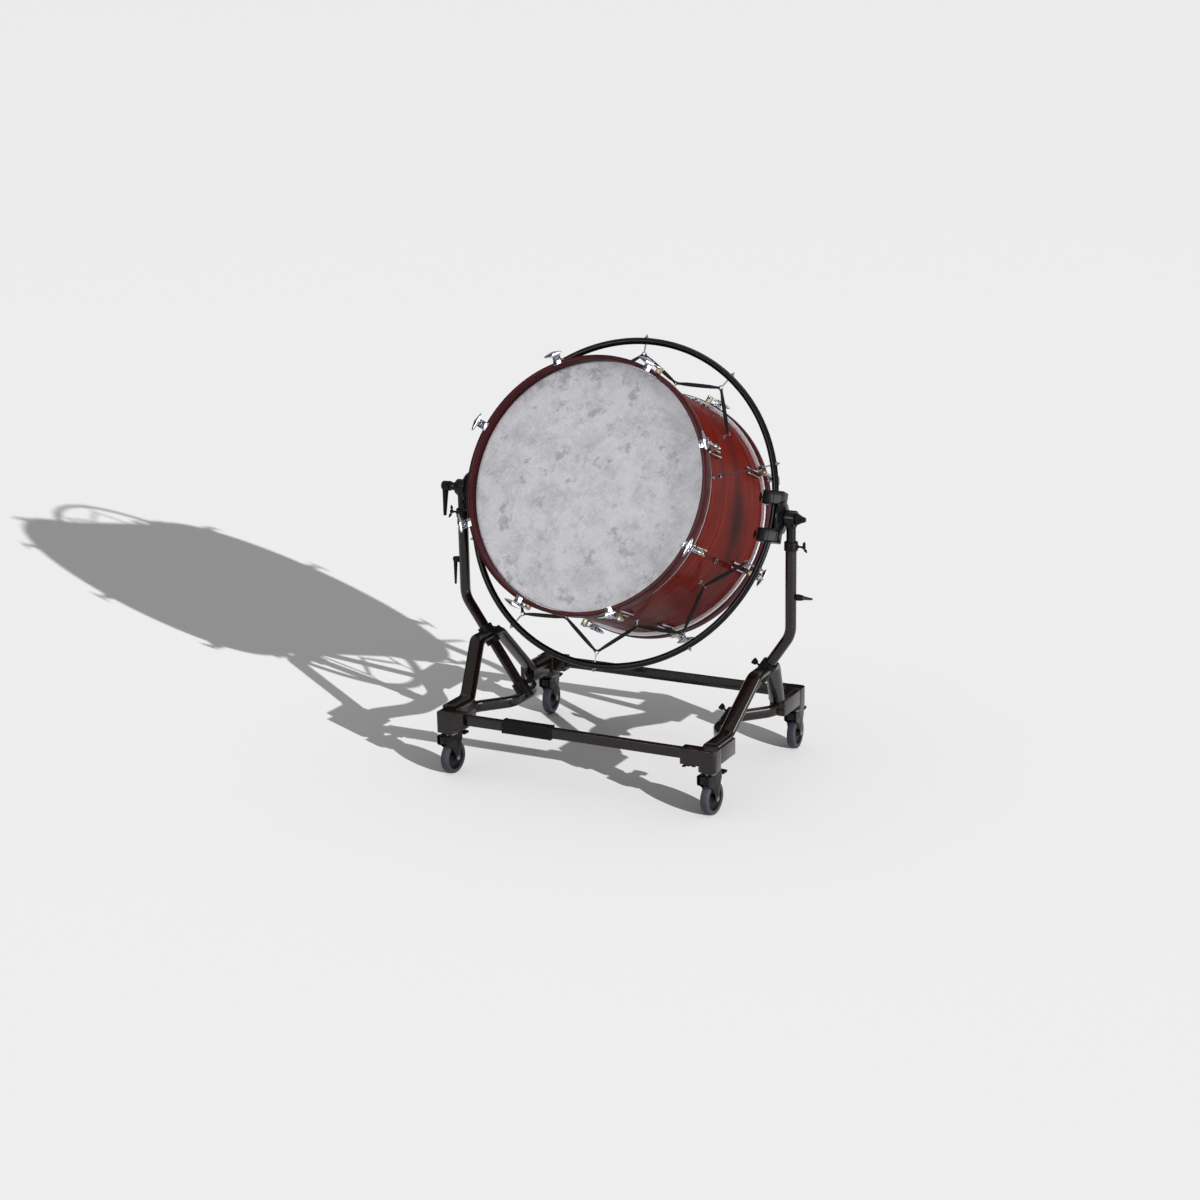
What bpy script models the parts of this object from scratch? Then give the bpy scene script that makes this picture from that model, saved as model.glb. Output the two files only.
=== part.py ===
# Concert bass drum hung in a tilting ring on a wheeled stand.
# Metres, +Z up, drum front towards -Y, trunnion axis along X, origin on the floor midway
# between the four castors.

import math

import bmesh
import bpy
from mathutils import Matrix, Vector

# Fits
GAP = 0.0003                 # between pieces that touch
SCREW_FIT = 0.0004           # between a screw or pin and its hole

# Drum
HEAD_DIAMETER = 0.914        # 36 inch heads
SHELL_DEPTH = 0.559          # 22 inch shell
SHELL_WALL = 0.008
SHELL_UNDERSIZE = 0.003      # shell inside the nominal head radius
BEARING_EDGE = 0.004
HEAD_THICKNESS = 0.001
HEAD_SLACK = 0.0005          # head skirt outside the shell
FLESH_HOOP_HEIGHT = 0.012
FLESH_HOOP_DROP = 0.010      # top of the flesh hoop below the head
FLESH_HOOP_WIDTH = 0.0138
HOOP_STAND = 0.042           # front face of the wooden hoop ahead of the head
HOOP_THICKNESS = 0.0145
HOOP_OVERHANG = 0.0165       # wooden hoop outside the nominal head radius
HOOP_RADIUS = HEAD_DIAMETER / 2 + HOOP_OVERHANG
HOOP_ROUNDING = 0.004
ROUND_STEPS = 48

# Tension stations, eight on each head
STATIONS = 8
STATION_START = 22.5
ROD_RADIUS = 0.0038
ROD_OFFSET = 0.019           # rod axis outside the wooden hoop
CLAW_WIDTH = 0.032
CLAW_PLATE = 0.005
CLAW_REACH = 0.013           # claw lip over the hoop's face
CLAW_SKIRT = 0.030
CLAW_BOSS_RADIUS = 0.009
HANDLE_STAND = 0.030         # middle of the T-handle ahead of the hoop
HANDLE_SPAN = 0.076
HANDLE_HEIGHT = 0.022
HANDLE_THICKNESS = 0.010
HANDLE_TIP = 0.005
HANDLE_HUB_RADIUS = 0.0075
LUG_END = 0.0345             # lug's outer end, inside the shell's edge
LUG_LENGTH = 0.115
LUG_TOP = SHELL_DEPTH / 2 - LUG_END
LUG_BOTTOM = LUG_TOP - LUG_LENGTH
LUG_BAR_WIDTH = 0.006
LUG_BAR_SPREAD = 0.020
LUG_STAND = 0.006
LUG_HEIGHT = 0.013
LUG_FOOT = 0.018
LUG_NUT_LENGTH = 0.018

# Air vent
VENT_ANGLE = -24.0
VENT_BORE_RADIUS = 0.0055
VENT_TUBE_RADIUS = 0.0078
VENT_FLANGE_RADIUS = 0.0125
VENT_FLANGE = 0.0025

# Ring that carries the drum
TRUNNION_HEIGHT = 1.009
DRUM_TILT = 22.5             # front head turned upwards
DRUM_LIFT = 0.006            # drum centre above the ring centre
RING_STAND = 0.153           # ring outside the nominal head radius
RING_RADIUS = HEAD_DIAMETER / 2 + RING_STAND
RING_TUBE_RADIUS = 0.0125
RING_SIDES = 8
HANGERS = 10
HOOK_SHANK_RADIUS = 0.003
HOOK_EYE_RADIUS = 0.008
HOOK_EYE_IN = 0.050          # hook inside the ring's tube axis
HOOK_EYE_AT = RING_RADIUS - HOOK_EYE_IN
HOOK_TAIL = 0.014            # screw beyond the ring
HOOK_NUT_RADIUS = 0.006
HOOK_NUT = 0.005
EYE_WIRE_RADIUS = 0.0022
EYE_TURN = 310.0
EYE_STEPS = 6
SHELL_EYE_STAND = 0.0225
SHELL_EYE_RADIUS = 0.006
SHELL_EYE_BASE_RADIUS = 0.009
SHELL_EYE_BASE = 0.0025
STRAP_WIDTH = 0.015
STRAP_THICKNESS = 0.004
STRAP_RUNS = {"upper": (90.0, 1), "lower": (-90.0, 2)}     # middle of the run, hooks to each side of it
RUN_EYES = (-1.5, -0.5, 0.5, 1.5)      # shell eyes of a run, in steps from its middle
STAY_ANGLE = 11.0            # shell eyes of the stay straps, above the trunnions
STAY_IN = 0.0745             # their eyes, inside the shell's edge
STAY_DEPTH = SHELL_DEPTH / 2 - STAY_IN

# Ring clamps and trunnions
CLAMP_SPACING = 0.068
CLAMP_BLOCK = 0.050
CLAMP_INNER = 0.045          # block inside the ring's tube axis
CLAMP_OUTER = 0.035
CLAMP_PLATE = 0.012
CLAMP_SCREW_RADIUS = 0.004
CLAMP_SCREW_REACH = 0.024
CLAMP_SCREW_HEAD = 0.009
DISH_RADIUS = 0.060
DISH_WAIST = 0.024
AXLE_RADIUS = 0.009
CAP_RADIUS = 0.021
CAP_LENGTH = 0.036

# Posts and uprights
UPRIGHT_STAND = 0.068        # upright axis outside the ring's
UPRIGHT_SPREAD = RING_RADIUS + UPRIGHT_STAND
UPRIGHT_RADIUS = 0.020
UPRIGHT_WALL = 0.0027
TUBE_SIDES = 12
COLLAR_DROP = 0.084          # top of the upright below the trunnions
COLLAR_TOP = TRUNNION_HEIGHT - COLLAR_DROP
COLLAR_HEIGHT = 0.032
COLLAR_RADIUS = 0.0245
BEND_DROP = 0.345            # bend below the top of the upright
BEND_HEIGHT = COLLAR_TOP - BEND_DROP
BEND_RADIUS = 0.100
BEND_STEPS = 5
BORE_RISE = 0.025            # floor of the post's bore above the bend
BORE_BOTTOM = BEND_HEIGHT + BORE_RISE
HUB_RADIUS = 0.030
HUB_HALF = 0.0185
SCREW_RADIUS = 0.004
SCREW_STAND = 0.020          # wing screw's thread outside the collar
WING_SPAN = 0.052
LEVER_DROP = 0.203           # clamp lever below the top of the upright
LEVER_HEIGHT = COLLAR_TOP - LEVER_DROP
LEVER_REACH = 0.100
LEVER_TURNS = {"left": 0.0, "right": 73.0}
TILT_NECK = 0.030
TILT_HUB = 0.036

# Foot of the slanted upright
CLAMP_IN = 0.234             # foot clamp inside the upright's axis
CLAMP_SPREAD = UPRIGHT_SPREAD - CLAMP_IN
CLAMP_HEIGHT = 0.239
SOCKET_IN = 0.100            # socket inside the upright's axis
SOCKET_SPREAD = UPRIGHT_SPREAD - SOCKET_IN
SOCKET_HALF = 0.038
SOCKET_WALL = 0.009
FOOT_CLAMP_UP = 0.022
FOOT_CLAMP_DOWN = 0.050
KNOB_STAND = 0.048
KNOB_RADIUS = 0.013
KNOB_LENGTH = 0.018

# Base
CASTOR_IN = 0.145            # castor axes inside the uprights'
CASTOR_SPREAD = UPRIGHT_SPREAD - CASTOR_IN
CASTOR_REACH = 0.392         # castor axes from the middle, front to back
CORNER = 0.070
CORNER_TOP = 0.250
CORNER_BOTTOM = 0.168
CORNER_ROUNDINGS = {"left": 0.005, "right": 0.018}
CORNER_STEP = 0.0015         # sleeve and arm inside the column's faces
BAR_WIDTH = 0.025
BAR_HEIGHT = 0.038
BAR_WALL = 0.002
BAR_CENTRE = 0.2245
BAR_STEP = 0.007             # crossbars outside the castor axes
BAR_REACH = CASTOR_REACH + BAR_STEP
BAR_INSERT = 0.045
SLEEVE_WALL = 0.009
SLEEVE_BOTTOM = 0.190
SLEEVE_ENDS = {"left": CASTOR_SPREAD - 0.078, "right": CASTOR_SPREAD - 0.101}
BAR_SCREW_IN = 0.023         # screw from the sleeve's end
BAR_SCREW_STAND = 0.004
FRAME_SHIFT = -0.012          # legs, bow and arms towards the front
ARM_END = 0.228
ARM_INNER = CASTOR_SPREAD - 0.028
ARM_BOTTOM = 0.187
GRIP_FROM = -0.297
GRIP_TO = -0.090
GRIP_WALL = 0.006
BOW_HEIGHT = 0.046
BOW_THICKNESS = 0.024
BOW_CENTRE = 0.2115
BOW_IN = CASTOR_SPREAD - 0.115
BOW_TURN = 0.208
LEG_WIDTH = 0.060
LEG_THICKNESS = 0.032
LEG_FOOT_END = 0.374
LEG_FOOT_TURN = 0.243
LEG_TOP_TURN = 0.080
LEG_RISE = 0.0017            # top of the legs over the slanted tube's axis in its socket
LEG_TOP = CLAMP_HEIGHT + (BEND_HEIGHT - CLAMP_HEIGHT) * (CLAMP_IN - SOCKET_IN) / CLAMP_IN + LEG_RISE
LEG_SINKS = {"front": 0.012, "rear": 0.028}

# Castors
WHEEL_RADIUS = 0.0625
WHEEL_WIDTH = 0.034
WHEEL_STEPS = 16
CASTOR_TRAIL = 0.014
CASTOR_HEAD_RADIUS = 0.028
CASTOR_HEAD_BOTTOM = 0.158
STEM_RADIUS = 0.006
STEM_LENGTH = 0.035
FORK_PLATE = 0.004
FORK_CLEARANCE = 0.0035
FORK_BRIDGE = 0.130          # underside of the crown over the wheel
FORK_NOSE = -0.050
FORK_TAIL = 0.045
CASTOR_AXLE_RADIUS = 0.004
PEDAL_PIVOT_Y = 0.036
PEDAL_PIVOT_Z = 0.141
PEDAL_LENGTH = 0.060
PEDAL_WIDTH = 0.038
CASTOR_ANGLES = {
    ("left", "front"): -5.0,
    ("right", "front"): -5.0,
    ("left", "rear"): 5.0,
    ("right", "rear"): 4.0,
}

shell_radius = HEAD_DIAMETER / 2 - SHELL_UNDERSIZE
hoop_face = SHELL_DEPTH / 2 + HOOP_STAND
rod_at = HOOP_RADIUS + ROD_OFFSET
post_radius = UPRIGHT_RADIUS - UPRIGHT_WALL - GAP
SIDES = {"left": -1, "right": 1}
ENDS = {"front": -1, "rear": 1}


# Materials

def make_material(name, colour, roughness, metallic=0.0):
    material = bpy.data.materials.new(name)
    material.use_nodes = True
    shader = material.node_tree.nodes["Principled BSDF"]
    shader.inputs["Base Color"].default_value = (*colour, 1.0)
    shader.inputs["Roughness"].default_value = roughness
    shader.inputs["Metallic"].default_value = metallic
    material.diffuse_color = (*colour, 1.0)
    return material


def make_materials():
    return {
        "mahogany": make_material("stained mahogany", (0.22, 0.025, 0.012), 0.25),
        "hoop": make_material("dark stained hoop", (0.07, 0.022, 0.026), 0.25),
        "head": make_material("mottled drum head", (0.62, 0.62, 0.64), 0.55),
        "chrome": make_material("chromed steel", (0.75, 0.75, 0.78), 0.12, 1.0),
        "bronze": make_material("dark hammered enamel", (0.030, 0.018, 0.014), 0.35, 0.3),
        "black": make_material("black enamel", (0.010, 0.009, 0.011), 0.30),
        "plastic": make_material("black plastic", (0.012, 0.012, 0.013), 0.45),
        "webbing": make_material("black elastic webbing", (0.010, 0.010, 0.011), 0.85),
        "tyre": make_material("grey rubber tyre", (0.10, 0.13, 0.16), 0.60),
    }


# Shapes. Each returns an object whose mesh is one closed body.

def from_bmesh(name, bm):
    bmesh.ops.recalc_face_normals(bm, faces=bm.faces)
    mesh = bpy.data.meshes.new(name)
    bm.to_mesh(mesh)
    bm.free()
    shape = bpy.data.objects.new(name, mesh)
    bpy.context.scene.collection.objects.link(shape)
    return shape


def box(low, high, rounding=0.0):
    # A box between two corners, with its edges chamfered where a rounding is given
    low, high = Vector(low), Vector(high)
    bm = bmesh.new()
    size = Matrix.Diagonal((*(high - low), 1.0))
    bmesh.ops.create_cube(bm, size=1.0, matrix=Matrix.Translation((low + high) / 2) @ size)
    if rounding:
        bmesh.ops.bevel(bm, geom=bm.edges[:], offset=rounding, segments=1, affect="EDGES")
    return from_bmesh("box", bm)


def rod(start, end, radius, sides=12, end_radius=None, phase=0.0):
    # A round bar from one point to another, tapered where an end radius is given
    start, end = Vector(start), Vector(end)
    along = end - start
    turn = along.to_track_quat("Z", "Y").to_matrix().to_4x4()
    place = Matrix.Translation((start + end) / 2) @ turn @ Matrix.Rotation(phase, 4, "Z")
    bm = bmesh.new()
    bmesh.ops.create_cone(bm, cap_ends=True, segments=sides, radius1=radius,
                          radius2=radius if end_radius is None else end_radius,
                          depth=along.length, matrix=place)
    return from_bmesh("rod", bm)


def bore(start, end, radius, sides=10):
    # A hole's cutter that leaves a round pin of the radius free to turn
    return rod(start, end, (radius + SCREW_FIT) / math.cos(math.pi / sides), sides)


def lathe(profile, steps, axis=(0, 0, 1), start=0.0):
    # Turns a closed profile of (radius, height) points round an axis
    axis = Vector(axis)
    turn = axis.to_track_quat("Z", "Y").to_matrix()
    bm = bmesh.new()
    first = Matrix.Rotation(start, 3, "Z")
    verts = [bm.verts.new(turn @ (first @ Vector((r, 0, z)))) for r, z in profile]
    closed = profile[0][0] > 0 or profile[-1][0] > 0
    edges = [bm.edges.new(pair) for pair in zip(verts, verts[1:])]
    if closed:
        edges.append(bm.edges.new((verts[-1], verts[0])))
    bmesh.ops.spin(bm, geom=verts + edges, cent=(0, 0, 0), axis=axis, angle=math.tau,
                   steps=steps, use_merge=True)
    bmesh.ops.remove_doubles(bm, verts=bm.verts, dist=0.00001)
    return from_bmesh("lathe", bm)


def sweep(path, side, section):
    # Carries a section of (along side, across) points along a flat path, with mitred corners
    side = Vector(side)
    bm = bmesh.new()
    rings = []
    for index, point in enumerate(path):
        before = (point - path[index - 1]).normalized() if index else None
        after = (path[index + 1] - point).normalized() if index + 1 < len(path) else None
        if before and after:
            tangent = (before + after).normalized()
            stretch = 1.0 / tangent.dot(after)
        else:
            tangent = before or after
            stretch = 1.0
        across = side.cross(tangent).normalized()
        rings.append([bm.verts.new(point + side * s + across * (a * stretch)) for s, a in section])
    count = len(section)
    for first, second in zip(rings, rings[1:]):
        for k in range(count):
            following = (k + 1) % count
            bm.faces.new((first[k], first[following], second[following], second[k]))
    bm.faces.new(rings[0][::-1])
    bm.faces.new(rings[-1])
    return from_bmesh("sweep", bm)


def plate(outline, thickness):
    # A flat outline carried along a vector
    bm = bmesh.new()
    face = bm.faces.new([bm.verts.new(point) for point in outline])
    extruded = bmesh.ops.extrude_face_region(bm, geom=[face])["geom"]
    moved = [item for item in extruded if isinstance(item, bmesh.types.BMVert)]
    bmesh.ops.translate(bm, verts=moved, vec=thickness)
    return from_bmesh("plate", bm)


def circle(radius, sides, phase=0.0):
    turns = [phase + math.tau * k / sides for k in range(sides)]
    return [(radius * math.cos(t), radius * math.sin(t)) for t in turns]


def rounded_outline(low, high, radius, steps):
    # A rectangle's outline with rounded corners
    corners = [(high[0], high[1], 0), (low[0], high[1], 1), (low[0], low[1], 2), (high[0], low[1], 3)]
    points = []
    for x, y, quarter in corners:
        centre_x = x - math.copysign(radius, x - low[0] - radius)
        centre_y = y - math.copysign(radius, y - low[1] - radius)
        for k in range(steps + 1):
            turn = math.pi / 2 * (quarter + k / steps)
            points.append((centre_x + radius * math.cos(turn), centre_y + radius * math.sin(turn)))
    return points


def flat_oval(width, thickness, steps=4):
    # A flat bar's section with half-round edges, wide along the sweep's side
    half = (width - thickness) / 2
    points = []
    for end in (1, -1):
        for k in range(steps + 1):
            turn = math.pi * (k / steps - 0.5)
            points.append((end * (half + thickness / 2 * math.cos(turn)),
                           end * thickness / 2 * math.sin(turn)))
    return points


def fillet(before, corner, after, radius, steps):
    # Points of an arc that rounds a corner
    back = (before - corner).normalized()
    ahead = (after - corner).normalized()
    half = back.angle(ahead) / 2
    reach = radius / math.tan(half)
    centre = corner + (back + ahead).normalized() * (radius / math.sin(half))
    start = (corner + back * reach - centre).normalized()
    end = (corner + ahead * reach - centre).normalized()
    return [centre + start.slerp(end, k / steps) * radius for k in range(steps + 1)]


def move(shape, matrix):
    shape.data.transform(matrix)
    return shape


def copy_of(shape, matrix):
    # A second shape with the same form, carried elsewhere
    twin = bpy.data.objects.new(shape.name, shape.data.copy())
    bpy.context.scene.collection.objects.link(twin)
    return move(twin, matrix)


def discard(shape):
    mesh = shape.data
    bpy.data.objects.remove(shape)
    bpy.data.meshes.remove(mesh)


def combine(shapes, cutters=()):
    # Unites the shapes into one body, then cuts it
    body = shapes[0]
    steps = [(other, "UNION") for other in shapes[1:]] + [(other, "DIFFERENCE") for other in cutters]
    for other, operation in steps:
        modifier = body.modifiers.new(operation.lower(), "BOOLEAN")
        modifier.operation = operation
        modifier.solver = "EXACT"
        modifier.object = other
    if steps:
        graph = bpy.context.evaluated_depsgraph_get()
        mesh = bpy.data.meshes.new_from_object(body.evaluated_get(graph))
        body.modifiers.clear()
        old = body.data
        body.data = mesh
        bpy.data.meshes.remove(old)
        for other, operation in steps:
            discard(other)
    return body


def finish(name, body, material, parent=None, smooth=30.0):
    # Names the node and gives it its material, its parent and its shading
    body.name = name
    body.data.name = name
    body.data.materials.clear()
    body.data.materials.append(material)
    body.data.shade_smooth()
    body.data.set_sharp_from_angle(angle=math.radians(smooth))
    if parent:
        body.parent = parent
    return body


def frame_at(name, location, rotation=(0, 0, 0)):
    # An empty that holds a joint's place
    frame = bpy.data.objects.new(name, None)
    frame.location = location
    frame.rotation_euler = rotation
    bpy.context.scene.collection.objects.link(frame)
    return frame


def drum_round(profile):
    # A piece of the drum, its flats centred on the multiples of one step
    return lathe(profile, ROUND_STEPS, start=math.pi / ROUND_STEPS)


def seat_on(radius, angle=0.0, half=0.0):
    # How far out a flat foot turned to an angle meets the many-sided round
    pitch = math.tau / ROUND_STEPS
    flat = radius * math.cos(pitch / 2)
    nearest = round(angle / pitch) * pitch - angle
    turns = (nearest - pitch, nearest, nearest + pitch)
    samples = [half * k / 4 for k in range(-4, 5)]
    return GAP + max(min((flat - t * math.sin(turn)) / math.cos(turn) for turn in turns) for t in samples)


# The drum, in the ring's own frame: z along the drum's axis towards its front, x across

def make_shell(materials, tilt):
    half = SHELL_DEPTH / 2
    inner = shell_radius - SHELL_WALL
    peak = shell_radius - BEARING_EDGE
    profile = [
        (shell_radius, -half + BEARING_EDGE), (shell_radius, half - BEARING_EDGE),
        (peak, half), (inner, half - BEARING_EDGE), (inner, -half + BEARING_EDGE), (peak, -half),
    ]
    vent = Matrix.Rotation(math.radians(VENT_ANGLE), 4, "Z")
    hole = move(rod((inner - 0.01, 0, 0), (shell_radius + 0.01, 0, 0), VENT_TUBE_RADIUS + GAP, 16), vent)
    body = combine([drum_round(profile)], [hole])
    finish("shell", body, materials["mahogany"], tilt)

    flange = seat_on(shell_radius, math.radians(VENT_ANGLE), VENT_FLANGE_RADIUS)
    ring = [
        (VENT_BORE_RADIUS, inner - GAP), (VENT_TUBE_RADIUS, inner - GAP), (VENT_TUBE_RADIUS, flange),
        (VENT_FLANGE_RADIUS, flange), (VENT_FLANGE_RADIUS - 0.001, flange + VENT_FLANGE),
        (VENT_BORE_RADIUS, flange + VENT_FLANGE),
    ]
    grommet = move(lathe(ring, 16, (1, 0, 0)), vent)
    finish("vent_grommet", grommet, materials["black"], tilt)


def make_head_set(materials, tilt, end):
    # A head bonded into its flesh hoop, and the wooden hoop over it, for the front or the rear
    turn = Matrix() if end == "front" else Matrix.Rotation(math.pi, 4, "X")
    under = SHELL_DEPTH / 2 + GAP
    skirt = shell_radius + HEAD_SLACK
    film = skirt + HEAD_THICKNESS
    outer = film + FLESH_HOOP_WIDTH
    top = under - FLESH_HOOP_DROP
    bottom = top - FLESH_HOOP_HEIGHT
    head = drum_round([
        (0, under), (skirt, under), (skirt, bottom), (outer, bottom), (outer, top), (film, top),
        (film, under + HEAD_THICKNESS), (0, under + HEAD_THICKNESS),
    ])
    finish(f"head_{end}", move(head, turn), materials["head"], tilt)

    inside = HOOP_RADIUS - HOOP_THICKNESS
    seat = top + GAP
    soft = HOOP_ROUNDING
    hoop = drum_round([
        (inside, seat), (HOOP_RADIUS, seat), (HOOP_RADIUS, hoop_face - soft),
        (HOOP_RADIUS - soft, hoop_face), (inside + soft, hoop_face), (inside, hoop_face - soft),
    ])
    finish(f"hoop_{end}", move(hoop, turn), materials["hoop"], tilt)


def make_lug_bar(y):
    # One bar of the fork with its two feet on the shell
    foot = seat_on(shell_radius)
    low = foot + LUG_STAND
    high = foot + LUG_HEIGHT
    heel = LUG_BOTTOM + LUG_FOOT
    toe = LUG_TOP - LUG_FOOT
    outline = [(foot, LUG_BOTTOM), (high, LUG_BOTTOM), (high, LUG_TOP), (foot, LUG_TOP), (foot, toe),
               (low, toe), (low, heel), (foot, heel)]
    return plate([(x, y, z) for x, z in outline], (0, LUG_BAR_WIDTH, 0))


def make_tension_unit():
    # Claw, T-handle rod and forked lug of one station, on the x axis
    face = hoop_face + GAP
    side = seat_on(HOOP_RADIUS)
    half = CLAW_WIDTH / 2
    ear = rod_at + CLAW_BOSS_RADIUS - 0.002
    handle = hoop_face + HANDLE_STAND
    nut_high = LUG_TOP - 0.002
    nut_low = nut_high - LUG_NUT_LENGTH
    spread = LUG_BAR_SPREAD / 2
    bar_low = seat_on(shell_radius) + LUG_STAND
    claw_top = face + CLAW_PLATE
    claw = [(HOOP_RADIUS - CLAW_REACH, face), (side, face), (side, face - CLAW_SKIRT),
            (side + CLAW_PLATE, face - CLAW_SKIRT), (side + CLAW_PLATE, face), (ear, face), (ear, claw_top),
            (HOOP_RADIUS - CLAW_REACH, claw_top)]
    turned = [(0, nut_low - 0.012), (ROD_RADIUS, nut_low - 0.012), (ROD_RADIUS, face - 0.016),
              (CLAW_BOSS_RADIUS, face - 0.016), (CLAW_BOSS_RADIUS, claw_top + 0.005),
              (HANDLE_HUB_RADIUS * 0.7, claw_top + 0.006), (HANDLE_HUB_RADIUS, handle + 0.004),
              (0, handle + 0.004)]
    tip = HANDLE_TIP / 2
    wing = [(0, -HANDLE_SPAN / 2), (tip, -HANDLE_SPAN / 2), (HANDLE_HEIGHT / 2, 0),
            (tip, HANDLE_SPAN / 2), (0, HANDLE_SPAN / 2)]
    flatten = Matrix.Diagonal((1, 1, HANDLE_THICKNESS / HANDLE_HEIGHT, 1))
    lift_out = Matrix.Translation((rod_at, 0, 0))
    return combine([
        move(lathe(turned, 6), lift_out),
        plate([(x, -half, z) for x, z in claw], (0, CLAW_WIDTH, 0)),
        move(lathe(wing, 4, (0, 1, 0)), Matrix.Translation((rod_at, 0, handle)) @ flatten),
        make_lug_bar(-spread - LUG_BAR_WIDTH / 2),
        make_lug_bar(spread - LUG_BAR_WIDTH / 2),
        box((bar_low + 0.001, -spread, nut_low), (rod_at + 0.005, spread, nut_high)),
    ])


def make_tension_units(materials, tilt):
    pattern = make_tension_unit()
    for end in ENDS:
        for number in range(STATIONS):
            angle = math.radians(STATION_START + 360 / STATIONS * number)
            unit = bpy.data.objects.new("unit", pattern.data)
            bpy.context.scene.collection.objects.link(unit)
            finish(f"tension_unit_{end}_{number + 1}", unit, materials["chrome"], tilt)
            place = Matrix.Rotation(angle, 4, "Z")
            if end == "rear":
                place = place @ Matrix.Rotation(math.pi, 4, "X")
            unit.matrix_local = place
    pattern.data = pattern.data.copy()
    discard(pattern)


# The ring and what hangs the drum in it

def hanger_angles():
    return [math.radians(90 + 360 / HANGERS * k) for k in range(HANGERS)]


def ring_torus(extra):
    points = circle(RING_TUBE_RADIUS + extra, RING_SIDES, math.pi / RING_SIDES)
    return drum_round([(RING_RADIUS + x, z) for x, z in points])


def make_ring(materials, tilt):
    holes = []
    for angle in hanger_angles():
        cutter = bore((RING_RADIUS - 0.03, 0, 0), (RING_RADIUS + 0.03, 0, 0), HOOK_SHANK_RADIUS, 6)
        holes.append(move(cutter, Matrix.Rotation(angle, 4, "Z")))
    finish("suspension_ring", combine([ring_torus(0)], holes), materials["black"], tilt)


def wire_eye(centre, radius):
    # A wire bent into an open eye, starting on its outer side
    path = []
    for k in range(EYE_STEPS + 1):
        turn = math.radians(EYE_TURN) * k / EYE_STEPS
        path.append(Vector((centre + radius * math.cos(turn), radius * math.sin(turn), 0)))
    return sweep(path, (0, 0, 1), circle(EYE_WIRE_RADIUS, 4, math.pi / 4))


def make_hook_bolt(angle):
    # Bolt through the ring with its nut outside, ending in an open hook
    flat = RING_RADIUS + RING_TUBE_RADIUS * math.cos(math.pi / RING_SIDES)
    outer = seat_on(flat, angle, HOOK_NUT_RADIUS)
    start = HOOK_EYE_AT + HOOK_EYE_RADIUS - 0.001
    shank = [(0, start), (HOOK_SHANK_RADIUS, start), (HOOK_SHANK_RADIUS, outer), (HOOK_NUT_RADIUS, outer),
             (HOOK_NUT_RADIUS, outer + HOOK_NUT), (HOOK_SHANK_RADIUS, outer + HOOK_NUT),
             (HOOK_SHANK_RADIUS, outer + HOOK_TAIL), (0, outer + HOOK_TAIL)]
    bolt = combine([lathe(shank, 6, (1, 0, 0)), wire_eye(HOOK_EYE_AT, HOOK_EYE_RADIUS)])
    return move(bolt, Matrix.Rotation(angle, 4, "Z"))


def make_shell_eye(angle):
    # Screw eye on the shell, its foot just clear of the veneer
    foot = seat_on(shell_radius, angle, SHELL_EYE_BASE_RADIUS)
    centre = shell_radius + SHELL_EYE_STAND
    top = centre - SHELL_EYE_RADIUS + 0.001
    shank = [(0, foot), (SHELL_EYE_BASE_RADIUS, foot), (SHELL_EYE_BASE_RADIUS, foot + SHELL_EYE_BASE),
             (HOOK_SHANK_RADIUS, foot + SHELL_EYE_BASE), (HOOK_SHANK_RADIUS, top), (0, top)]
    place = Matrix.Translation((centre, 0, 0)) @ Matrix.Rotation(math.pi, 4, "Z")
    eye = move(wire_eye(0, SHELL_EYE_RADIUS), place)
    return move(combine([lathe(shank, 6, (1, 0, 0)), eye]), Matrix.Rotation(angle, 4, "Z"))


def make_strap(hook, eye, flat, reach=1.0):
    # A webbing strap from a hook to a shell eye, its thickness along flat
    along = (eye - hook).normalized()
    start = hook + along * (HOOK_EYE_RADIUS - 0.001) * reach
    end = eye - along * (SHELL_EYE_RADIUS - 0.0005) * reach
    across = flat.cross(along).normalized()
    turn = Matrix((across, along.cross(across), along)).transposed().to_4x4()
    half = (STRAP_WIDTH / 2, STRAP_THICKNESS / 2, (end - start).length / 2)
    return move(box([-v for v in half], half), Matrix.Translation((start + end) / 2) @ turn)


def make_suspension(materials, tilt):
    # Hook bolts, shell eyes and the elastic straps between them: one zigzag above the trunnions, one
    # below, and a stay on each side from the hook over the trunnion to an eye near the front hoop
    lift = Matrix.Translation((0, DRUM_LIFT, 0))
    step = math.tau / HANGERS
    eye_at = shell_radius + SHELL_EYE_STAND
    for run, (middle, reach) in STRAP_RUNS.items():
        middle = math.radians(middle)
        shapes = []
        for place in RUN_EYES:
            shapes.append(move(make_shell_eye(middle + step * place), lift))
        for number in range(-reach, reach + 1):
            angle = middle + step * number
            shapes.append(make_hook_bolt(angle))
            hook = Matrix.Rotation(angle, 4, "Z") @ Vector((HOOK_EYE_AT, 0, 0))
            for place in RUN_EYES:
                if abs(place - number) < 1:
                    eye = lift @ Matrix.Rotation(middle + step * place, 4, "Z") @ Vector((eye_at, 0, 0))
                    shapes.append(make_strap(hook, eye, Vector((0, 0, 1))))
        finish(f"strap_run_{run}", combine(shapes), materials["webbing"], tilt)
    depth = Matrix.Translation((0, 0, STAY_DEPTH))
    for side, way in SIDES.items():
        angle = math.pi / 2 - way * 2 * step
        turn = math.pi / 2 - way * (math.pi / 2 - math.radians(STAY_ANGLE))
        hook = Matrix.Rotation(angle, 4, "Z") @ Vector((HOOK_EYE_AT, 0, 0))
        eye = lift @ depth @ Matrix.Rotation(turn, 4, "Z") @ Vector((eye_at, 0, 0))
        shapes = [make_hook_bolt(angle), move(make_shell_eye(turn), lift @ depth),
                  make_strap(hook, eye, Vector((0, 1, 0)), 0.1)]
        finish(f"stay_strap_{side}", combine(shapes), materials["webbing"], tilt)


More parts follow.
